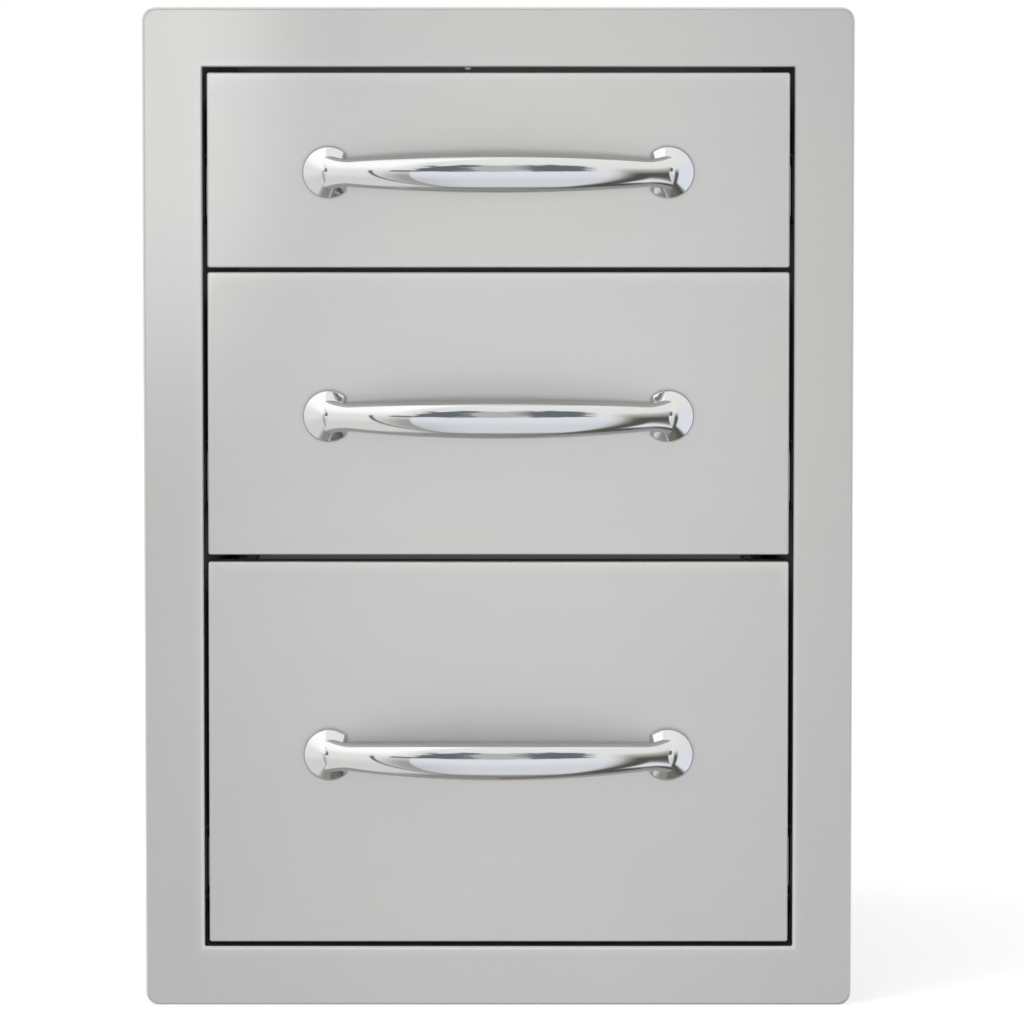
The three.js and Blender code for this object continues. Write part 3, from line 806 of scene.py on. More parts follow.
@dataclass(frozen=True)
class PlainSteel(Finish):
    """Mill-finished stainless sheet, with faint rolling lines, clouds and handling smudges."""

    tone: Triple = (0.50, 0.505, 0.51)
    tint: Triple = (0.515, 0.512, 0.505)
    tint_span: Pair = (0.35, 0.75)
    roughness: float = 0.42
    relief: Pair = (0.01, 0.3)
    layers: tuple[Layer, ...] = (
        Layer(stretch=(700.0, 9.0, 700.0), level=0.05, roughness=0.08, relief=1.0),
        Layer(4.0, level=0.08),
        Layer(16.0, detail=4.0, fineness=0.6, level=0.05, roughness=0.10, relief=0.4),
    )
    level: float = 0.96


@dataclass(frozen=True)
class WeldedSteel(PlainSteel):
    """Plain steel with an upright row of spot welds on each side of its middle: dimples in burnt halos."""

    aside: float = 0.0  # in metres, as the next three
    pitch: float = 0.048
    radius: float = 0.0021
    halo: float = 0.0050
    burnt: Triple = (0.30, 0.26, 0.22)
    least_burn: float = 0.35
    more_burn: float = 0.4
    dimple: Pair = (0.35, 0.8)  # its depth and its strength
    line_share: float = 0.03  # how much the rolling lines count beside a dimple

    def away(self, tree: Tree) -> Value:
        """Gives the distance from the nearest weld's middle.

        Args:
            tree: The material's tree.

        Returns:
            The distance in metres.
        """
        across, _, up = tree.split(tree.places())
        beside = across.size() - self.aside
        along = (tree.maths("FRACT", up / self.pitch) - 0.5) * self.pitch
        return tree.maths("SQRT", beside * beside + along * along)

    def colour(self, tree: Tree, patterns: list[Value]) -> Socket:
        """Burns the halos in, more so where the sheet is smudged.

        Args:
            tree: The material's tree.
            patterns: The layers' patterns.

        Returns:
            The colour's socket.
        """
        halo = 1.0 - self.away(tree).rise(self.radius, self.halo)
        burn = halo * (self.least_burn + self.more_burn * patterns[-1])
        return tree.blend(burn, super().colour(tree, patterns), self.burnt)

    def normal(self, tree: Tree, patterns: list[Value]) -> Socket:
        """Presses the dimples in, over a trace of the rolling lines."""
        flat = self.away(tree).rise(self.radius / 2, self.radius)
        return tree.bump(flat + self.line_share * patterns[0], *self.dimple)


@dataclass(frozen=True)
class Chrome(Finish):
    """Polished chrome: nearly a mirror, with the slow waves and faint haze of a hand-polished casting."""

    tone: Triple = (0.68, 0.69, 0.695)
    tint: Triple = (0.68, 0.69, 0.695)
    tint_span: Pair = (0.5, 0.8)
    tint_roughness: float = 0.07
    roughness: float = 0.045
    relief: Pair = (0.5, 0.25)
    layers: tuple[Layer, ...] = (
        Layer(38.0, (0.6, 1.0, 1.0), detail=1.0, relief=1.0),
        Layer(90.0, detail=4.0, fineness=0.6, level=0.05),
    )
    level: float = 0.995


@dataclass(frozen=True)
class ZincPlate(Finish):
    """Bright zinc plate: bluish blotches, drawing lines along the slide and a thin oil haze."""

    tone: Triple = (0.56, 0.58, 0.60)
    tint: Triple = (0.60, 0.58, 0.53)
    tint_span: Pair = (0.45, 0.75)
    roughness: float = 0.30
    relief: Pair = (0.006, 0.3)
    layers: tuple[Layer, ...] = (
        Layer(stretch=(1500.0, 12.0, 1500.0), level=0.06, roughness=0.06, relief=1.0),
        Layer(70.0, detail=3.0, fineness=0.6, level=0.10, roughness=0.18),
    )
    level: float = 0.97


@dataclass(frozen=True)
class Moulded(Finish):
    """A moulded plastic or rubber: a plain colour, a fine spark-eroded texture and slight rubbing marks."""

    tone: Triple = (0.022, 0.023, 0.025)
    tint: Triple = (0.05, 0.05, 0.052)
    tint_span: Pair = (0.5, 0.75)
    tint_roughness: float = -0.12
    roughness: float = 0.5
    relief: Pair = (0.02, 0.4)
    layers: tuple[Layer, ...] = (Layer(2600.0, roughness=0.15, relief=1.0), Layer(140.0, detail=3.0))
    metallic: float = 0.0


@dataclass(frozen=True)
class Finishes:
    """The finishes that several sub-assemblies share."""

    plain_steel: Material
    chrome: Material
    zinc_plate: Material
    ball_steel: Material
    nylon: Material
    clear_rubber: Material

    @classmethod
    def mixed(cls) -> "Finishes":
        """Makes them all.

        Returns:
            The finishes.
        """
        grey = (0.66, 0.67, 0.68)
        clear = Moulded(tone=(0.42, 0.42, 0.41), tint=(0.50, 0.50, 0.48), roughness=0.42)
        return cls(
            plain_steel=PlainSteel().make("plain_steel_sheet"),
            chrome=Chrome().make("polished_chrome"),
            zinc_plate=ZincPlate().make("bright_zinc_plate"),
            ball_steel=Chrome(tone=grey, tint=grey, roughness=0.12).make("hardened_ball_steel"),
            nylon=Moulded().make("black_nylon"),
            clear_rubber=clear.make("clear_rubber"),
        )


# Sub-assemblies


@dataclass(frozen=True)
class FaceFrame:
    """The face frame: one pressing with a bearing lip, an outer return, the trim and a jamb inwards."""

    finishes: Finishes
    sheet: float = 1.2
    corner_radius: float = 8.5
    lip_width: float = 14.0
    lip_bend: float = 1.8
    edge_bend: float = 1.9
    trim_width: float = 36.5
    opening_bend: float = 1.6
    stop_x: float = -18.6  # a clear stop shows in the gap over the top drawer
    stop_radius: float = 2.0
    stop_height: float = 1.7
    stop_sides: int = 24
    stop_setback: float = 5.0
    cloud_seed: float = 3.0
    brightness: float = 0.872

    def build(self) -> Piece:
        """Builds the pressing and its stop.

        Returns:
            The pressing.
        """
        low, high = cad_box("face_frame")
        width, depth, height = high - low
        middle = (low + high) / 2
        half = self.sheet / 2
        standoff = -low[1]
        folds = [
            Fold(self.lip_width, half),
            Fold(half, half, self.lip_bend - half),
            Fold(half, standoff - half, self.edge_bend - half),
            Fold(self.trim_width - half, standoff - half, self.opening_bend - half),
            Fold(self.trim_width - half, standoff - depth),
        ]
        section = sheet_outline(folded_line(folds), self.sheet)
        rings = pressed_rings(section, width, height, self.corner_radius)
        outside = Panel.face("face_frame")
        opening = Panel.face("face_frame", self.trim_width)
        # Painted highlights in the frame's colour: a band round its outer edge, a broad band and a narrow lip
        # round the opening that are strongest at the lower left and the bottom, and a thin rim on the outer
        # edge, strongest at the bottom.
        sheens = (
            PaintedSheen(outside, width=2.5, level=0.18),
            PaintedSheen(opening, width=8.0, level=0.06, even_share=0.5, across_share=-0.25, up_share=-0.4),
            PaintedSheen(opening, width=3.2, level=0.30, even_share=0.33, up_share=-0.67),
            PaintedSheen(outside, width=1.3, level=0.34, even_share=0.6, up_share=-0.4),
        )
        steel = BrushedSteel(sheens=sheens, seed=self.cloud_seed, brightness=self.brightness)
        place = np.array([middle[0], 0.0, middle[2]])
        surface = Surface().add_rings(stood_up(rings, place), closed=True)
        finish = steel.make("brushed_steel_frame")
        pressing = surface.stand_in("face_frame", "face_frame_pressing", finish, "chassis", "brushed_steel")
        self.stop(low[1], high[2] - self.trim_width)
        return pressing

    def stop(self, face: float, opening_top: float) -> None:
        """Builds the small clear stop on the jamb above the top drawer: a dome, turned downwards.

        Args:
            face: The trim's face.
            opening_top: The top of the opening.
        """
        radii, drops = dome_profile(self.stop_radius, self.stop_height, edge_share=0.3, last=80, count=12)
        angles = np.linspace(0, 2 * np.pi, self.stop_sides, endpoint=False)
        across = radii[:, None] * np.cos(angles) + self.stop_x
        along = radii[:, None] * np.sin(angles) + face + self.stop_setback
        down = np.broadcast_to(opening_top - drops[:, None], across.shape)
        dome = Surface().add_rings(np.stack([across, along, down], axis=-1))
        dome.piece("top_gap_stop", self.finishes.clear_rubber, "chassis")


@dataclass(frozen=True)
class Casing:
    """The box behind the frame. Its sheets keep their own shape, and get their finish and their rivets."""

    finishes: Finishes
    rivet_radius: float = 2.9
    rivet_height: float = 1.1
    rivets_in_row: int = 6
    row_inset: float = 8.0  # from a cover's face to the rivets through its flange
    row_ends: float = 34.0
    weld_inset: float = 8.5  # from a side's face to the welds through its rear flange
    fixing_radius: float = 3.6
    fixing_height: float = 1.5
    fixing_margin: float = 35.0  # from a slide's end to the screw through it

    def build(self) -> None:
        """Dresses the sheets and adds the rivets."""
        sheets = [f"casing_{name}" for name in ("side_left", "side_right", "top", "floor")]
        dress_nodes(sheets, self.finishes.plain_steel)
        low, high = cad_box("casing_side_right")
        welded = WeldedSteel(aside=(high[0] - self.weld_inset) * METRES_PER_MM)
        dress_nodes(["casing_back"], welded.make("plain_steel_welded"))
        for side_name, side in SIDES:
            facing = Facing.sideways(side)
            outside = side * high[0]
            along = np.linspace(low[1] + self.row_ends, high[1] - self.row_ends, self.rivets_in_row)
            levels = np.array([low[2] + self.row_inset, high[2] - self.row_inset])
            places = np.array([[outside, y, z] for z in levels for y in along])
            rivets = Surface().add_heads(places, self.rivet_radius, self.rivet_height, facing)
            rivets.piece(f"casing_rivets_{side_name}", self.finishes.plain_steel, "chassis")
            slides = [cad_box(f"{drawer}_cabinet_member_{side_name}") for drawer in DRAWER_NAMES]
            places = [
                [outside, y, (bottom + top) / 2]
                for (_, start, bottom), (_, end, top) in slides
                for y in (start + self.fixing_margin, end - self.fixing_margin)
            ]
            fixings = Surface().add_heads(np.array(places), self.fixing_radius, self.fixing_height, facing)
            fixings.piece(f"slide_fixings_{side_name}", self.finishes.zinc_plate, "chassis")


@dataclass(frozen=True)
class DrawerPart:
    """A sub-assembly of one drawer."""

    finishes: Finishes
    drawer: str

    @property
    def body(self) -> str:
        """The body that slides with the drawer."""
        return f"{self.drawer}_drawer"


@dataclass(frozen=True)
class Front(DrawerPart):
    """A drawer's front: a pressed skin with soft edges over a liner pan, which keeps its own shape."""

    sheet: float = 1.0
    edge_bend: float = 1.3
    corner_radius: float = 1.6
    plate_margin: float = 4.0

    def build(self) -> Piece:
        """Builds the skin and dresses the liner.

        Returns:
            The skin.
        """
        node = f"{self.drawer}_front_panel"
        low, high = cad_box(node)
        width, depth, height = high - low
        middle = (low + high) / 2
        half = self.sheet / 2
        folds = [
            Fold(self.edge_bend + self.plate_margin, depth - half),
            Fold(half, depth - half, self.edge_bend - half),
            Fold(half, 0.0),
        ]
        section = sheet_outline(folded_line(folds), self.sheet)
        rings = pressed_rings(section, width, height, self.corner_radius)
        panel = Panel.face(node)
        # Painted highlights in the front's colour: a thin band round its edges, strongest along the top, and
        # a broad band along the top edge alone.
        sheens = (
            PaintedSheen(panel, width=2.4, level=0.15, even_share=0.65, up_share=0.35),
            PaintedSheen(panel, width=8.0, level=0.07, even_share=-4.0, up_share=5.0),
        )
        steel = BrushedSteel(sheens=sheens, seed=float(height))
        finish = steel.make(f"brushed_steel_{self.drawer}_front")
        place = np.array([middle[0], high[1], middle[2]])
        surface = Surface().add_rings(stood_up(rings, place))
        skin = surface.stand_in(node, f"{self.drawer}_front_skin", finish, self.body, "brushed_steel")
        dress_nodes([f"{self.drawer}_front_liner"], self.finishes.plain_steel)
        return skin


@dataclass(frozen=True)
class Pull(DrawerPart):
    """A chromed pull: a bowed grip that swells towards its middle, between two domed feet."""

    centres: float = 206.0
    reach: float = 40.0
    end_reach: float = 7.0
    grip_height: float = 22.3
    grip_depth: float = 15.0
    end_height: float = 15.4
    end_depth: float = 11.5
    flare_start: float = 0.84  # share of the arc where the arm starts to widen into its foot
    flare_height: float = 3.0
    flare_depth: float = 0.9
    foot_radius: float = 15.9
    foot_rise: float = 14.6
    rim_slope: float = 0.93  # how steep the dome is at its rim, just under 45 degrees
    top_share: float = 0.43  # share of the radius over which the dome's top is rounded
    rim_rounding: float = 0.8
    foot_cut: float = 10.9
    cut_degrees: float = 18.0
    pole_degrees: float = 2.0  # how far the last ring stays off the dome's top
    ridge: float = 0.35  # how softly the foot's flat side meets its dome
    stations: int = 120
    grip_sides: int = 56
    foot_rings: int = 44
    foot_sides: int = 144

    def build(self) -> None:
        """Builds the pull on its base plane."""
        node = f"{self.drawer}_handle"
        low, high = cad_box(node)
        base = np.array([(low[0] + high[0]) / 2, high[1], (low[2] + high[2]) / 2])
        casting = Surface().add_rings(self.grip() + base)
        for _, side in SIDES:
            casting.add_rings(self.foot(side) + base)
        casting.stand_in(node, f"{self.drawer}_pull", self.finishes.chrome, self.body, "chrome")

    def grip(self) -> np.ndarray:
        """Gives the grip's rings.

        The middle line is an arc through the feet and the middle of the grip. Each ring is an ellipse across
        it, whose height and depth grow from the ends to the middle with the cosine of the share of the arc,
        and near the feet with the square of the share past the flare's start. A point lies at the arc's
        radius plus half the depth times a cosine, and at half the height times a sine.

        Returns:
            The rings.
        """
        half_span = self.centres / 2
        rise = self.reach - self.end_reach
        radius = (half_span**2 + rise**2) / (2 * rise)
        share = np.linspace(-1, 1, self.stations + 1)[:, None]
        angle = math.asin(half_span / radius) * share
        swell = np.cos(share * np.pi / 2)
        flare = np.clip((np.abs(share) - self.flare_start) / (1 - self.flare_start), 0, 1) ** 2
        height = self.end_height + (self.grip_height - self.end_height) * swell
        half_height = height / 2 + self.flare_height * flare
        depth = self.end_depth + (self.grip_depth - self.end_depth) * swell
        half_depth = depth / 2 + self.flare_depth * flare
        around = np.linspace(0, 2 * np.pi, self.grip_sides, endpoint=False)[None]
        out_radius = radius + half_depth * np.cos(around)
        across = out_radius * np.sin(angle)
        out = out_radius * np.cos(angle) - radius + self.reach
        return np.stack([across, -out, half_height * np.sin(around)], axis=-1)

    def foot(self, side: int) -> np.ndarray:
        """Gives a foot's rings, from its outline on the base plane in to its middle.

        In plan the foot is a circle cut by a straight line. Its height is the lesser of a dome and a plane
        that leans back from the cut. The two meet in a ridge, softened by the usual smooth minimum. The dome
        is a hyperbola turned about the axis: it falls with the root of the squared share of the radius plus
        the squared share of its rounded top, to a rounded rim on an upright edge.

        Args:
            side: -1 for the left foot and 1 for the right one.

        Returns:
            The rings.
        """
        theta = np.linspace(0, 2 * np.pi, self.foot_sides, endpoint=False)[None]
        towards_cut = np.maximum(np.cos(theta), TINY)
        outline = np.minimum(self.foot_radius, self.foot_cut / towards_cut)
        lean = np.linspace(np.pi / 2, np.radians(self.pole_degrees), self.foot_rings)[:, None]
        radius = outline * np.sin(lean)
        share = radius / self.foot_radius
        fall = self.rim_slope * self.foot_radius * math.hypot(1, self.top_share)
        past_rim = np.clip((radius - self.foot_radius) / self.rim_rounding + 1, 0, 1)
        dome = self.foot_rise - fall * (np.hypot(share, self.top_share) - self.top_share)
        dome -= self.rim_rounding * (1 - np.sqrt(1 - past_rim**2))
        inward = radius * np.cos(theta)
        slope = (self.foot_cut - inward) / math.tan(math.radians(self.cut_degrees)) + SUPPORT
        mix = np.clip(0.5 + 0.5 * (slope - dome) / self.ridge, 0, 1)
        height = dome * mix + slope * (1 - mix) - self.ridge * mix * (1 - mix)
        radius = np.vstack([radius[:1], radius])
        height = np.vstack([np.zeros_like(height[:1]), np.maximum(height, SUPPORT / 2)])
        across = side * self.centres / 2 - side * radius * np.cos(theta)
        return np.stack([across, -height, radius * np.sin(theta)], axis=-1)


@dataclass(frozen=True)
class DrawerBox(DrawerPart):
    """A drawer's box: a folded tray with a rolled rim, and the screws and rivets through its walls."""

    sheet: float = 0.9
    corner_radius: float = 4.0
    floor_bend: float = 3.0
    rim_radius: float = 1.1
    rim_drop: float = 8.0
    plate_margin: float = 4.0
    screw_radius: float = 3.2
    screw_height: float = 1.6
    screw_inset: float = 32.0
    screw_sink: float = 28.0
    rivet_radius: float = 2.6
    rivet_height: float = 1.0
    rivet_margin: float = 35.0

    def build(self) -> None:
        """Builds the tray and its fasteners."""
        node = f"{self.drawer}_drawer_box"
        low, high = cad_box(node)
        width, depth, height = high - low
        middle = (low + high) / 2
        half = self.sheet / 2
        rolled = half + self.rim_radius
        folds = [
            Fold(self.floor_bend + self.plate_margin, half),
            Fold(half, half, self.floor_bend - half),
            Fold(half, height - rolled),
        ]
        roll = arc(np.array([rolled, height - rolled]), self.rim_radius, 180, 0)[1:]
        hem = np.array([[rolled + self.rim_radius, height - self.rim_drop]])
        section = sheet_outline(np.vstack([folded_line(folds), roll, hem]), self.sheet)
        rings = pressed_rings(section, width, depth, self.corner_radius)
        tray = Surface().add_rings(rings + np.array([middle[0], middle[1], low[2]]))
        tray.stand_in(node, f"{self.drawer}_drawer_tray", self.finishes.plain_steel, self.body, "plain_steel")
        heads = self.fasteners(low, high)
        heads.piece(f"{self.drawer}_box_fasteners", self.finishes.zinc_plate, self.body)

    def fasteners(self, low: np.ndarray, high: np.ndarray) -> Surface:
        """Builds the screws into the front and the rivets into the slides, as heads inside the tray.

        Args:
            low: The box's lowest corner.
            high: The box's highest corner.

        Returns:
            The heads.
        """
        front = low[1] + self.sheet
        ends = (low[0] + self.screw_inset, high[0] - self.screw_inset)
        levels = (low[2] + self.screw_sink, high[2] - self.screw_sink)
        screws = np.array([[x, front, z] for x in ends for z in levels])
        heads = Surface().add_heads(screws, self.screw_radius, self.screw_height, Facing.BACK)
        for side_name, side in SIDES:
            slide_low, slide_high = cad_box(f"{self.drawer}_drawer_member_{side_name}")
            level = (slide_low[2] + slide_high[2]) / 2
            inner = side * (high[0] - self.sheet)
            along = (slide_low[1] + self.rivet_margin, slide_high[1] - self.rivet_margin)
            places = np.array([[inner, y, level] for y in along])
            heads.add_heads(places, self.rivet_radius, self.rivet_height, Facing.sideways(-side))
        return heads


@dataclass(frozen=True)
class PullScrew(DrawerPart):
    """A button-headed screw that holds a pull, with a six-sided socket in its head."""

    shank_radius: float = 2.0
    head_radius: float = 4.0
    head_height: float = 3.1
    socket_across: float = 2.5
    socket_depth: float = 1.5
    edge_share: float = 0.3  # how much of the head's height is its upright edge
    crown_rings: int = 8
    sides: int = 48

    def build(self) -> None:
        """Builds both screws."""
        for side_name, _ in SIDES:
            node = f"{self.drawer}_handle_screw_{side_name}"
            low, high = cad_box(node)
            tip = np.array([(low[0] + high[0]) / 2, low[1], (low[2] + high[2]) / 2])
            rings = self.rings(high[1] - low[1] - self.head_height, tip)
            name = f"{self.drawer}_pull_screw_{side_name}"
            screw = Surface().add_rings(rings)
            screw.stand_in(node, name, self.finishes.zinc_plate, self.body, "zinc_plate")

    def rings(self, length: float, tip: np.ndarray) -> np.ndarray:
        """Gives the screw's rings: the shank, a quarter of an ellipse for the head, and down into the socket.

        A hexagon's radius at an angle is half its width across flats over the cosine of the angle from the
        nearest flat's middle.

        Args:
            length: The shank's length.
            tip: Where the shank starts.

        Returns:
            The rings.
        """
        angle = np.linspace(0, 2 * np.pi, self.sides, endpoint=False)
        sixth = np.pi / 3
        socket = self.socket_across / 2 / np.cos(np.mod(angle, sixth) - sixth / 2)
        lean = np.linspace(0, 1, self.crown_rings) * np.pi / 2
        mouth = float(socket.max()) + SUPPORT
        crown = mouth + (self.head_radius - mouth) * np.cos(lean)
        rise = length + self.head_height * (self.edge_share + (1 - self.edge_share) * np.sin(lean))
        top = length + self.head_height
        plain = np.concatenate([[self.shank_radius] * 2, [self.head_radius], crown])
        radii = np.vstack([np.broadcast_to(plain[:, None], (len(plain), self.sides)), socket, socket])
        heights = np.concatenate([[0.0, length, length], rise, [top, top - self.socket_depth]])
        return turned_rings(radii, heights, Facing.BACK, tip)


@dataclass(frozen=True)
class Slide(DrawerPart):
    """One telescopic slide: each member holds the next one captive between two rows of balls.

    A section's first number is the reach from the casing side towards the drawer, and its second one the
    height over the slide's middle. Only its upper half is written; the lower one mirrors it.
    """

    side_name: str
    side: int
    height: float = 45.4
    width: float = 12.7
    sheet: float = 1.2
    bend: float = 2.8
    web_bend: float = 1.3
    ball_diameter: float = 4.76
    race_clearance: float = 0.22
    outer_inset: float = 4.3
    inner_inset: float = 8.4
    lip_end: float = -5.0  # degrees, where the cabinet member's lips end
    hook_end: float = 50.0
    trough_end: float = -165.0
    retainer_sheet: float = 0.5
    retainer_gap: float = 0.3
    outer_retainer_reach: float = 6.5
    inner_retainer_reach: float = 10.7
    ball_margin: float = 8.0
    ball_pitch: float = 14.0
    ball_sides: int = 12
    ball_rings: int = 7
    pole_degrees: float = 8.0  # how far a ball's first ring stays off its pole
    fastener_margin: float = 35.0
    fastener_radius: float = 3.2
    screw_height: float = 0.2
    rivet_height: float = 0.6
    pin_radius: float = 1.8
    pin_length: float = 4.0
    pin_setback: float = 190.0
    # a thin black cap on the cabinet member's front end, also painted shade that darkens that end in the gap
    gap_shade_buffer_length: float = 0.8

    def build(self) -> None:
        """Builds the members, the retainers and the fasteners, and dresses the lever."""
        half = self.sheet / 2
        outer_web = self.sheet + self.retainer_gap + self.retainer_sheet / 2
        middle_web = self.sheet + 2 * self.retainer_gap + self.retainer_sheet + half
        inner_web = middle_web + half + self.retainer_gap + self.retainer_sheet / 2
        drawer_web = self.width - half
        outer_ball, inner_ball = self.ball_rows()
        sections = self.sections((half, middle_web, drawer_web), outer_ball, inner_ball)
        bodies = ("chassis", f"{self.drawer}_intermediates", self.body)
        for kind, section, body in zip(("cabinet", "intermediate", "drawer"), sections, bodies):
            self.member(f"{kind}_member", section, body)
        self.retainer("outer_retainer", outer_web, outer_ball, self.outer_retainer_reach)
        self.retainer("inner_retainer", inner_web, inner_ball, self.inner_retainer_reach)
        self.fasteners(drawer_web - half)
        front = cad_box(f"{self.drawer}_cabinet_member_{self.side_name}")[0][1]
        # The black end buffer is also painted shade: it darkens the member's front end, which would otherwise
        # catch light in the gap.
        gap_shade_buffer = self.run(sections[0], self.sheet, front - self.gap_shade_buffer_length, front)
        gap_shade_buffer.piece(f"{self.drawer}_end_buffer_{self.side_name}", self.finishes.nylon, "chassis")
        dress_nodes([f"{self.drawer}_release_lever_{self.side_name}"], self.finishes.nylon)

    @property
    def race(self) -> float:
        """The radius of the members' centre line round a ball."""
        return self.ball_diameter / 2 + self.race_clearance + self.sheet / 2

    def ball_rows(self) -> tuple[np.ndarray, np.ndarray]:
        """Gives the upper outer and inner row of balls.

        The sheet between the rows is shared, so they stand two race radii apart. Their levels differ by the
        other side of the right triangle whose one side is the distance between their insets.

        Returns:
            The reach and height of each row.
        """
        outer_level = self.height / 2 - self.sheet / 2 - self.race
        apart = self.inner_inset - self.outer_inset
        inner_level = outer_level - math.sqrt((2 * self.race) ** 2 - apart**2)
        return np.array([self.outer_inset, outer_level]), np.array([self.inner_inset, inner_level])

    def sections(self, webs: Triple, outer: np.ndarray, inner: np.ndarray) -> list[np.ndarray]:
        """Gives the members' sections.

        The cabinet member's lips wrap over the outer balls. The intermediate one runs under the outer balls
        and on into a hook over the inner ones. The drawer member's troughs hold the inner balls from inside.

        Args:
            webs: The reach of each member's web.
            outer: The outer row of balls.
            inner: The inner row.

        Returns:
            The upper half of each centre line.
        """
        crown = outer[1] + self.race
        corner = [Fold(webs[0], 0.0), Fold(webs[0], crown, self.bend), Fold(outer[0], crown)]
        cabinet = [folded_line(corner)[:-1], arc(outer, self.race, 90, self.lip_end)]

        floor = outer[1] - self.race
        swing = math.degrees(math.atan2(*(inner - outer)[::-1]))
        corner_end = 2 * outer[0] - webs[1] - self.web_bend
        corner = [Fold(webs[1], 0.0), Fold(webs[1], floor, self.web_bend), Fold(corner_end, floor)]
        trough = arc(outer, self.race, -90, swing)
        hook = arc(inner, self.race, 180 + swing, self.hook_end)[1:]
        intermediate = [folded_line(corner)[:-2], trough, hook]

        floor = inner[1] - self.race
        corner = [Fold(webs[2], 0.0), Fold(webs[2], floor, self.web_bend), Fold(inner[0], floor)]
        drawer = [folded_line(corner)[:-1], arc(inner, self.race, -90, self.trough_end)]
        return [np.vstack(lines) for lines in (cabinet, intermediate, drawer)]

    def run(self, upper: np.ndarray, sheet: float, start: float, end: float) -> Surface:
        """Draws a section out along Y.

        Args:
            upper: The upper half of its centre line.
            sheet: Its thickness.
            start: Where it starts.
            end: Where it ends.

        Returns:
            The surface.
        """
        lower = upper[:0:-1] * np.array([1.0, -1.0])
        outline = sheet_outline(np.vstack([lower, upper]), sheet)
        face, level = self.place()
        across = self.side * (face - outline[:, 0])
        up = outline[:, 1] + level
        ends = [np.stack([across, np.full_like(across, y), up], axis=-1) for y in (start, end)]
        return Surface().add_rings(np.stack(ends))

    def place(self) -> tuple[float, float]:
        """Gives how far the slide's outer face is from the middle, and the slide's level."""
        low, high = cad_box(f"{self.drawer}_cabinet_member_{self.side_name}")
        return float(max(abs(low[0]), abs(high[0]))), float((low[2] + high[2]) / 2)

    def member(self, kind: str, section: np.ndarray, body: str) -> None:
        """Builds a member in the place of its node.

        Args:
            kind: Which one it is.
            section: The upper half of its section.
            body: The body that it moves with.
        """
        node = f"{self.drawer}_{kind}_{self.side_name}"
        low, high = cad_box(node)
        profile = self.run(section, self.sheet, low[1], high[1])
        name = f"{self.drawer}_{kind}_rail_{self.side_name}"
        profile.stand_in(node, name, self.finishes.zinc_plate, body, "zinc_plate")

    def retainer(self, kind: str, web: float, ball: np.ndarray, reach: float) -> None:
        """Builds a retainer, and its balls as a piece of their own.

        Args:
            kind: Which one it is.
            web: Its web's reach.
            ball: The upper row of its balls.
            reach: How far its flanges go.
        """
        node = f"{self.drawer}_{kind}_{self.side_name}"
        body = f"{self.drawer}_{kind}s"
        low, high = cad_box(node)
        channel = np.array([[web, 0.0], [web, ball[1]], [reach, ball[1]]])
        strip = self.run(channel, self.retainer_sheet, low[1], high[1])
        name = f"{self.drawer}_{kind}_strip_{self.side_name}"
        strip.stand_in(node, name, self.finishes.zinc_plate, body, "zinc_plate")
        count = int((high[1] - low[1] - 2 * self.ball_margin) / self.ball_pitch) + 1
        along = np.linspace(low[1] + self.ball_margin, high[1] - self.ball_margin, count)
        face, level = self.place()
        across = self.side * (face - ball[0])
        places = np.array([[across, y, level + z] for z in (ball[1], -ball[1]) for y in along])
        balls = Surface().add_copies(self.ball(), places)
        name = f"{self.drawer}_{kind}_balls_{self.side_name}"
        balls.stand_in(node, name, self.finishes.ball_steel, body, "zinc_plate")

    def ball(self) -> Surface:
        """Makes a ball: rings whose radius and height are its radius times a sine and a cosine.

        Returns:
            The ball.
        """
        pole = np.radians(self.pole_degrees)
        lean = np.linspace(pole, np.pi - pole, self.ball_rings)
        radii = self.ball_diameter / 2 * np.sin(lean)
        radii = np.broadcast_to(radii[:, None], (self.ball_rings, self.ball_sides))
        heights = self.ball_diameter / 2 * np.cos(lean)
        return Surface().add_rings(turned_rings(radii, heights, Facing.RIGHT))

    def fasteners(self, web_face: float) -> None:
        """Builds the flush screws and rivets in the outer and inner webs, and the lever's pin.

        Args:
            web_face: The reach of the drawer member's face that looks at the casing.
        """
        outer_face, level = self.place()
        for kind, reach, facing, rise, body in (
            ("cabinet_member", self.sheet, Facing.sideways(-self.side), self.screw_height, "chassis"),
            ("drawer_member", web_face, Facing.sideways(self.side), self.rivet_height, self.body),
        ):
            low, high = cad_box(f"{self.drawer}_{kind}_{self.side_name}")
            across = self.side * (outer_face - reach)
            along = (low[1] + self.fastener_margin, high[1] - self.fastener_margin)
            places = np.array([[across, y, level] for y in along])
            heads = Surface().add_heads(places, self.fastener_radius, rise, facing)
            if kind == "drawer_member":
                pin = np.array([[across, low[1] + self.pin_setback, level]])
                heads.add_heads(pin, self.pin_radius, self.pin_length, facing)
            heads.piece(f"{self.drawer}_{kind}_fasteners_{self.side_name}", self.finishes.zinc_plate, body)


@dataclass(frozen=True)
class Drawer:
    """A whole drawer: front, pull, screws, box and both slides."""

    finishes: Finishes
    name: str

    def build(self) -> Piece:
        """Builds its parts in order.

        Returns:
            Its front's skin.
        """
        skin = Front(self.finishes, self.name).build()
        for kind in (Pull, PullScrew, DrawerBox):
            kind(self.finishes, self.name).build()
        for side_name, side in SIDES:
            Slide(self.finishes, self.name, side_name, side).build()
        return skin


# Studio


@dataclass(frozen=True)
class View:
    """A reflected direction: its angles to the right and upwards in degrees, and a ragged noise about 0."""

    azimuth: Value
    elevation: Value
    noise: Value


@dataclass(frozen=True)
class Edge:
    """A patch's soft edge: the two angles between which it rises, and how much it slants and is ragged."""

    start: float
    end: float
    slant: float = 0.0
    ragged: float = 0.0


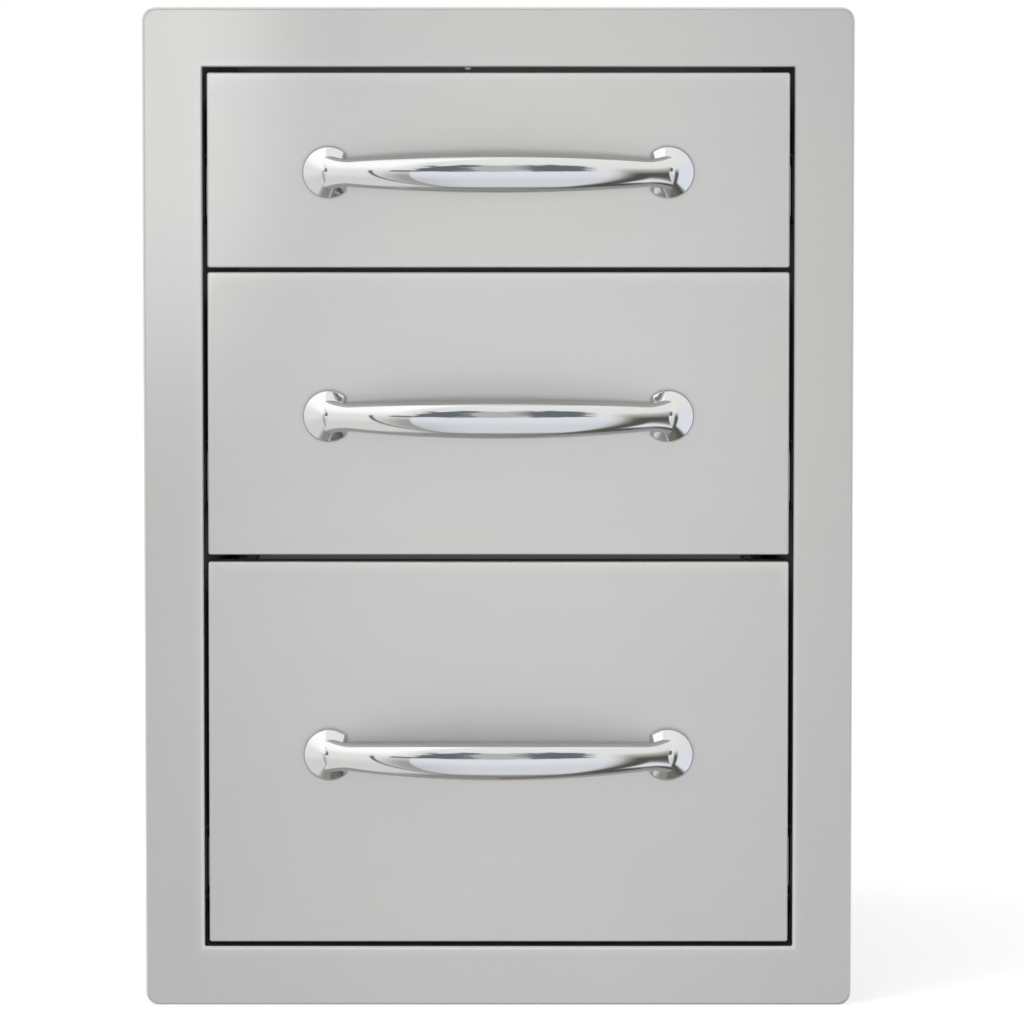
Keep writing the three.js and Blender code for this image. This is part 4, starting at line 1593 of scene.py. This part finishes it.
@dataclass(frozen=True)
class Patch:
    """A patch of the room between up to four soft edges, thinned where another patch is."""

    tone: Triple
    strength: float = 1.0
    left: Edge | None = None
    right: Edge | None = None
    bottom: Edge | None = None
    top: Edge | None = None
    thinned_by: "Patch | None" = None

    def share(self, view: View) -> Value:
        """Gives how much of its tone there is.

        What is left of the strength is multiplied by the rise over the left and bottom edges, and by one less
        the rise over the right and top ones.

        Args:
            view: The direction.

        Returns:
            The share of the tone.
        """
        share = self.strength - self.thinned_by.share(view) if self.thinned_by else self.strength
        for along, other, first, last in (
            (view.azimuth, view.elevation, self.left, self.right),
            (view.elevation, view.azimuth, self.bottom, self.top),
        ):
            for edge in filter(None, (first, last)):
                angle = weighed(along, [edge.slant, edge.ragged], [other, view.noise])
                rise = angle.rise(edge.start, edge.end)
                share = share * (rise if edge is first else 1.0 - rise)
        return share


BLACK = (0.0, 0.0, 0.0)  # of a patch that only thins another one
TABLE_FOOT = (0.74, 0.755, 0.79)
TABLE_TOP = (0.85, 0.87, 0.92)
TABLE = Patch(TABLE_TOP, 1.0, Edge(-37.0, -35.5), Edge(44.0, 54.0, slant=0.5), top=Edge(9.0, 11.0))
SCREEN_LEFT = Edge(64.0, 72.0)
SCREEN_FOOT = Edge(-56.0, -44.0)
LIGHT_WALL = Patch(BLACK, 0.45, left=Edge(-16.0, -8.0, ragged=24.0), right=Edge(6.0, 16.0, ragged=24.0))
PATCHES = (
    Patch((0.26, 0.25, 0.24), 0.75, left=Edge(-56.0, -38.0), right=Edge(-37.0, -35.5), top=Edge(-10.0, 22.0)),
    TABLE,
    Patch((0.84, 0.86, 0.92), 1.0, SCREEN_LEFT, Edge(100.0, 120.0), SCREEN_FOOT, Edge(20.0, 34.0)),
    Patch(
        (0.25, 0.25, 0.20),
        0.8,
        left=Edge(44.0, 58.0),
        top=Edge(6.0, 30.0),
        thinned_by=Patch(BLACK, 0.8, left=SCREEN_LEFT, bottom=SCREEN_FOOT),
    ),
    Patch(
        (0.07, 0.07, 0.06),
        0.9,
        left=Edge(50.0, 60.0),
        top=Edge(-6.0, 10.0),
        thinned_by=Patch(BLACK, 0.9, left=SCREEN_LEFT, bottom=SCREEN_FOOT),
    ),
    Patch(
        (0.09, 0.11, 0.14),
        0.92,
        left=Edge(-38.0, -30.0, ragged=24.0),
        right=Edge(36.0, 44.0, ragged=24.0),
        bottom=Edge(9.0, 12.0, ragged=6.0),
        top=Edge(36.0, 44.0, ragged=30.0),
        thinned_by=LIGHT_WALL,
    ),
    Patch((0.09, 0.09, 0.10), 0.8, Edge(-47.0, -44.0), Edge(-38.0, -30.0), Edge(8.0, 10.0), Edge(15.0, 18.0)),
    Patch((0.07, 0.07, 0.07), 0.9, Edge(-53.9, -53.0, 0.12), Edge(-52.0, -51.1, 0.12), top=Edge(12.0, 18.0)),
    Patch((1.25, 1.25, 1.24), 0.8, Edge(-130.0, -90.0), Edge(-52.0, -36.0), bottom=Edge(8.0, 40.0)),
    Patch((0.20, 0.18, 0.15), 0.85, top=Edge(-74.0, -58.0)),
    Patch((0.30, 0.30, 0.31), 0.25, Edge(-140.0, -90.0), Edge(-38.0, -12.0), top=Edge(-30.0, 4.0)),
)


@dataclass(frozen=True)
class SoftLamp:
    """A round lamp that looks at the object's middle, and that metal doesn't mirror."""

    name: str
    place: Triple
    size: float
    watts: float


@dataclass(frozen=True)
class Spot:
    """A soft spot in front of the face. Its pool of light is upright, as its cone is squeezed sideways."""

    name: str
    target: Pair
    half_height: float
    squeeze: float
    softness: float
    watts: float


SOFT_LAMPS = (
    SoftLamp("key", place=(-1500.0, -1600.0, 1900.0), size=1400.0, watts=20.0),
    SoftLamp("fill", place=(1700.0, -1500.0, 900.0), size=1600.0, watts=7.0),
)
SPOTS = (
    Spot("wash", target=(8.0, 460.0), half_height=1200.0, squeeze=0.27, softness=150.0, watts=13.5),
    Spot("gleam", target=(-214.0, 590.0), half_height=290.0, squeeze=0.36, softness=30.0, watts=16.0),
)


def hang(data: bpy.types.Light, watts: float, place: np.ndarray, target: np.ndarray) -> Piece:
    """Hangs a lamp.

    Args:
        data: The lamp's data.
        watts: Its power.
        place: Where it hangs.
        target: What it looks at.

    Returns:
        The lamp.
    """
    data.energy = watts
    lamp = bpy.data.objects.new(data.name, data)
    lamp.location = (np.array(place) * METRES_PER_MM).tolist()
    towards = np.subtract(target, place).tolist()
    lamp.rotation_euler = Vector(towards).to_track_quat("-Z", "Y").to_euler()
    bpy.context.scene.collection.objects.link(lamp)
    return lamp


@dataclass(frozen=True)
class Studio:
    """The plain room: a white surround with reflections for the chrome, the lamps, a floor and the camera."""

    distance: float = 3800.0  # from the camera to the trim
    rise: float = 318.0  # from the object's middle up to the camera
    offset: float = 8.2  # from the object's middle to the right
    lens: float = 220.2
    sensor: float = 36.0
    shift_y: float = -0.06
    middle_share: float = 0.0030  # how far the face's middle lies over the picture's, of the picture's height
    spot_distance: float = 2600.0  # from the spots to the trim
    spot_colour: Triple = (1.0, 0.985, 0.95)
    glow_setback: float = 3.0
    glow_watts: float = 0.13
    even_colour: Triple = (0.98, 0.98, 1.0)
    even_strength: float = 0.80
    room_strength: float = 1.21
    room_span: Pair = (30.0, 75.0)  # degrees over which the room goes from its foot's tone to its head's
    table_span: Pair = (-32.0, 2.0)  # the same for the table
    room_foot: Triple = (0.90, 0.89, 0.86)
    room_head: Triple = (0.93, 0.93, 0.92)
    floor_reach: float = 6000.0
    floor_tones: tuple[Triple, Triple] = ((0.86, 0.865, 0.87), (0.88, 0.88, 0.88))
    floor_roughness: float = 0.9
    floor_emission: float = 0.35

    def build(self) -> None:
        """Builds it all, but for the spots."""
        self.surround()
        for soft in SOFT_LAMPS:
            data = bpy.data.lights.new(soft.name, "AREA")
            data.shape = "DISK"
            data.size = soft.size * METRES_PER_MM
            hang(data, soft.watts, soft.place, self.middle).visible_glossy = False
        self.glow()
        self.floor()
        self.camera()

    @property
    def middle(self) -> np.ndarray:
        """The middle of the object's box."""
        low, high = (np.array(corner) / METRES_PER_MM for corner in CAD_BOX)
        return (low + high) / 2

    def camera(self) -> None:
        """Stands the camera at the photograph's height and tips it so that the object's middle is framed."""
        face = cad_box("face_frame")[0][1]
        data = bpy.data.cameras.new("camera")
        data.lens = self.lens
        data.sensor_width = self.sensor
        data.shift_y = self.shift_y
        camera = bpy.data.objects.new("camera", data)
        place = np.array([self.offset, face - self.distance, self.middle[2] + self.rise])
        camera.location = (place * METRES_PER_MM).tolist()
        aim = math.atan((self.middle_share + self.shift_y) * self.sensor / self.lens)
        tip = math.atan(self.rise / self.distance) + aim
        camera.rotation_euler = (math.radians(90) - tip, 0.0, 0.0)
        bpy.context.scene.collection.objects.link(camera)
        bpy.context.scene.camera = camera

    def sheens(self, satin: list[Piece]) -> None:
        """Hangs the soft spots in front, whose sheen lies on the satin sheets, and on them alone.

        The wash lies broad on the middle, and the gleam narrow on the upper left. Each hangs where a mirror
        at the place it lights would show it to the camera.

        Args:
            satin: The satin pieces.
        """
        receivers = bpy.data.collections.new("satin_pieces")
        for piece in satin:
            receivers.objects.link(piece)
        eye = np.array([self.offset, self.middle[2] + self.rise])
        for spot in SPOTS:
            across, up = target = np.array(spot.target)
            aside, above = target + (target - eye) * self.spot_distance / self.distance
            data = bpy.data.lights.new(spot.name, "SPOT")
            data.color = self.spot_colour
            data.spot_size = 2 * math.atan(spot.half_height / self.spot_distance)
            data.spot_blend = 1.0
            data.shadow_soft_size = spot.softness * METRES_PER_MM
            lamp = hang(data, spot.watts, (aside, -self.spot_distance, above), (across, 0.0, up))
            lamp.scale = (spot.squeeze, 1.0, 1.0)
            lamp.visible_camera = False
            lamp.light_linking.receiver_collection = receivers

    def glow(self) -> None:
        """Hangs a faint lamp just behind the fronts, which looks into the casing and keeps the gaps grey."""
        opening = Panel.face("face_frame", FaceFrame.trim_width)
        across, _, up = opening.middle
        behind = cad_box("top_drawer_box")[0][1] + self.glow_setback
        data = bpy.data.lights.new("glow", "AREA")
        data.shape = "RECTANGLE"
        data.size = 2 * opening.half_width * METRES_PER_MM
        data.size_y = 2 * opening.half_height * METRES_PER_MM
        hang(data, self.glow_watts, (across, behind, up), (across, behind + 1, up)).visible_camera = False

    def surround(self) -> None:
        """Fills the world: white for the camera, even for diffuse light, and the room for reflections."""
        world = bpy.data.worlds.new("surround")
        world.use_nodes = True
        bpy.context.scene.world = world
        tree = Tree(world.node_tree)
        path = tree.node("ShaderNodeLightPath").outputs
        seen = Value(tree, path["Is Camera Ray"]).most(Value(tree, path["Is Transmission Ray"]))
        even, white, room = (
            tree.node("ShaderNodeBackground", None, {"Color": colour, "Strength": strength})
            for colour, strength in (
                ((*self.even_colour, 1.0), self.even_strength),
                (WHITE, 1.0),
                (self.room(tree), self.room_strength),
            )
        )
        lit = tree.mixed(path["Is Glossy Ray"], even, room)
        tree.output(tree.mixed(seen, lit, white), "ShaderNodeOutputWorld")

    def room(self, tree: Tree) -> Socket:
        """Gives what polished metal reflects: a pale room, a light table in front of it, and a dark far wall.

        Args:
            tree: The world's tree.

        Returns:
            The colour's socket.
        """
        towards = tree.node("ShaderNodeTexCoord").outputs["Generated"]
        across, back, up = tree.split(towards)
        view = View(
            azimuth=tree.maths("ARCTAN2", across, 0.0 - back) * math.degrees(1.0),
            elevation=tree.maths("ARCSINE", up) * math.degrees(1.0),
            noise=tree.noise(towards, scale=7.0, detail=3.0) - 0.5,
        )
        colour = tree.blend(view.elevation.rise(*self.room_span), self.room_foot, self.room_head)
        table = tree.blend(view.elevation.rise(*self.table_span), TABLE_FOOT, TABLE.tone)
        for patch in PATCHES:
            colour = tree.blend(patch.share(view), colour, table if patch is TABLE else patch.tone)
        return colour

    def floor(self) -> None:
        """Lays a white floor that keeps a soft shadow, and that reflections pass through to the room."""
        low, _ = CAD_BOX
        reach = self.floor_reach * METRES_PER_MM
        corners = [(reach * x, reach * y, low[2]) for x, y in ((-1, -1), (1, -1), (1, 1), (-1, 1))]
        mesh = bpy.data.meshes.new("floor")
        mesh.from_pydata(corners, [], [(0, 1, 2, 3)])
        material, tree = new_finish("white_floor")
        inputs = {
            "Base Color": tree.blend(tree.noise(tree.places(), scale=3.0), *self.floor_tones),
            "Roughness": self.floor_roughness,
            "Emission Color": WHITE,
            "Emission Strength": self.floor_emission,
        }
        matt = tree.node("ShaderNodeBsdfPrincipled", None, inputs)
        clear = tree.node("ShaderNodeBsdfTransparent")
        glossy = tree.node("ShaderNodeLightPath").outputs["Is Glossy Ray"]
        tree.output(tree.mixed(glossy, matt, clear))
        mesh.materials.append(material)
        floor = bpy.data.objects.new("floor", mesh)
        bpy.context.scene.collection.objects.link(floor)


def main() -> None:
    """Builds the studio and the drawer unit, piece by piece."""
    logging.basicConfig(level=logging.INFO, stream=sys.stdout, format="%(name)s: %(message)s")
    bpy.context.scene.view_settings.view_transform = "Standard"
    finishes = Finishes.mixed()
    studio = Studio()
    studio.build()
    satin = [FaceFrame(finishes).build()]
    Casing(finishes).build()
    satin += [Drawer(finishes, name).build() for name in DRAWER_NAMES]
    studio.sheens(satin)


if __name__ == "__main__":
    main()
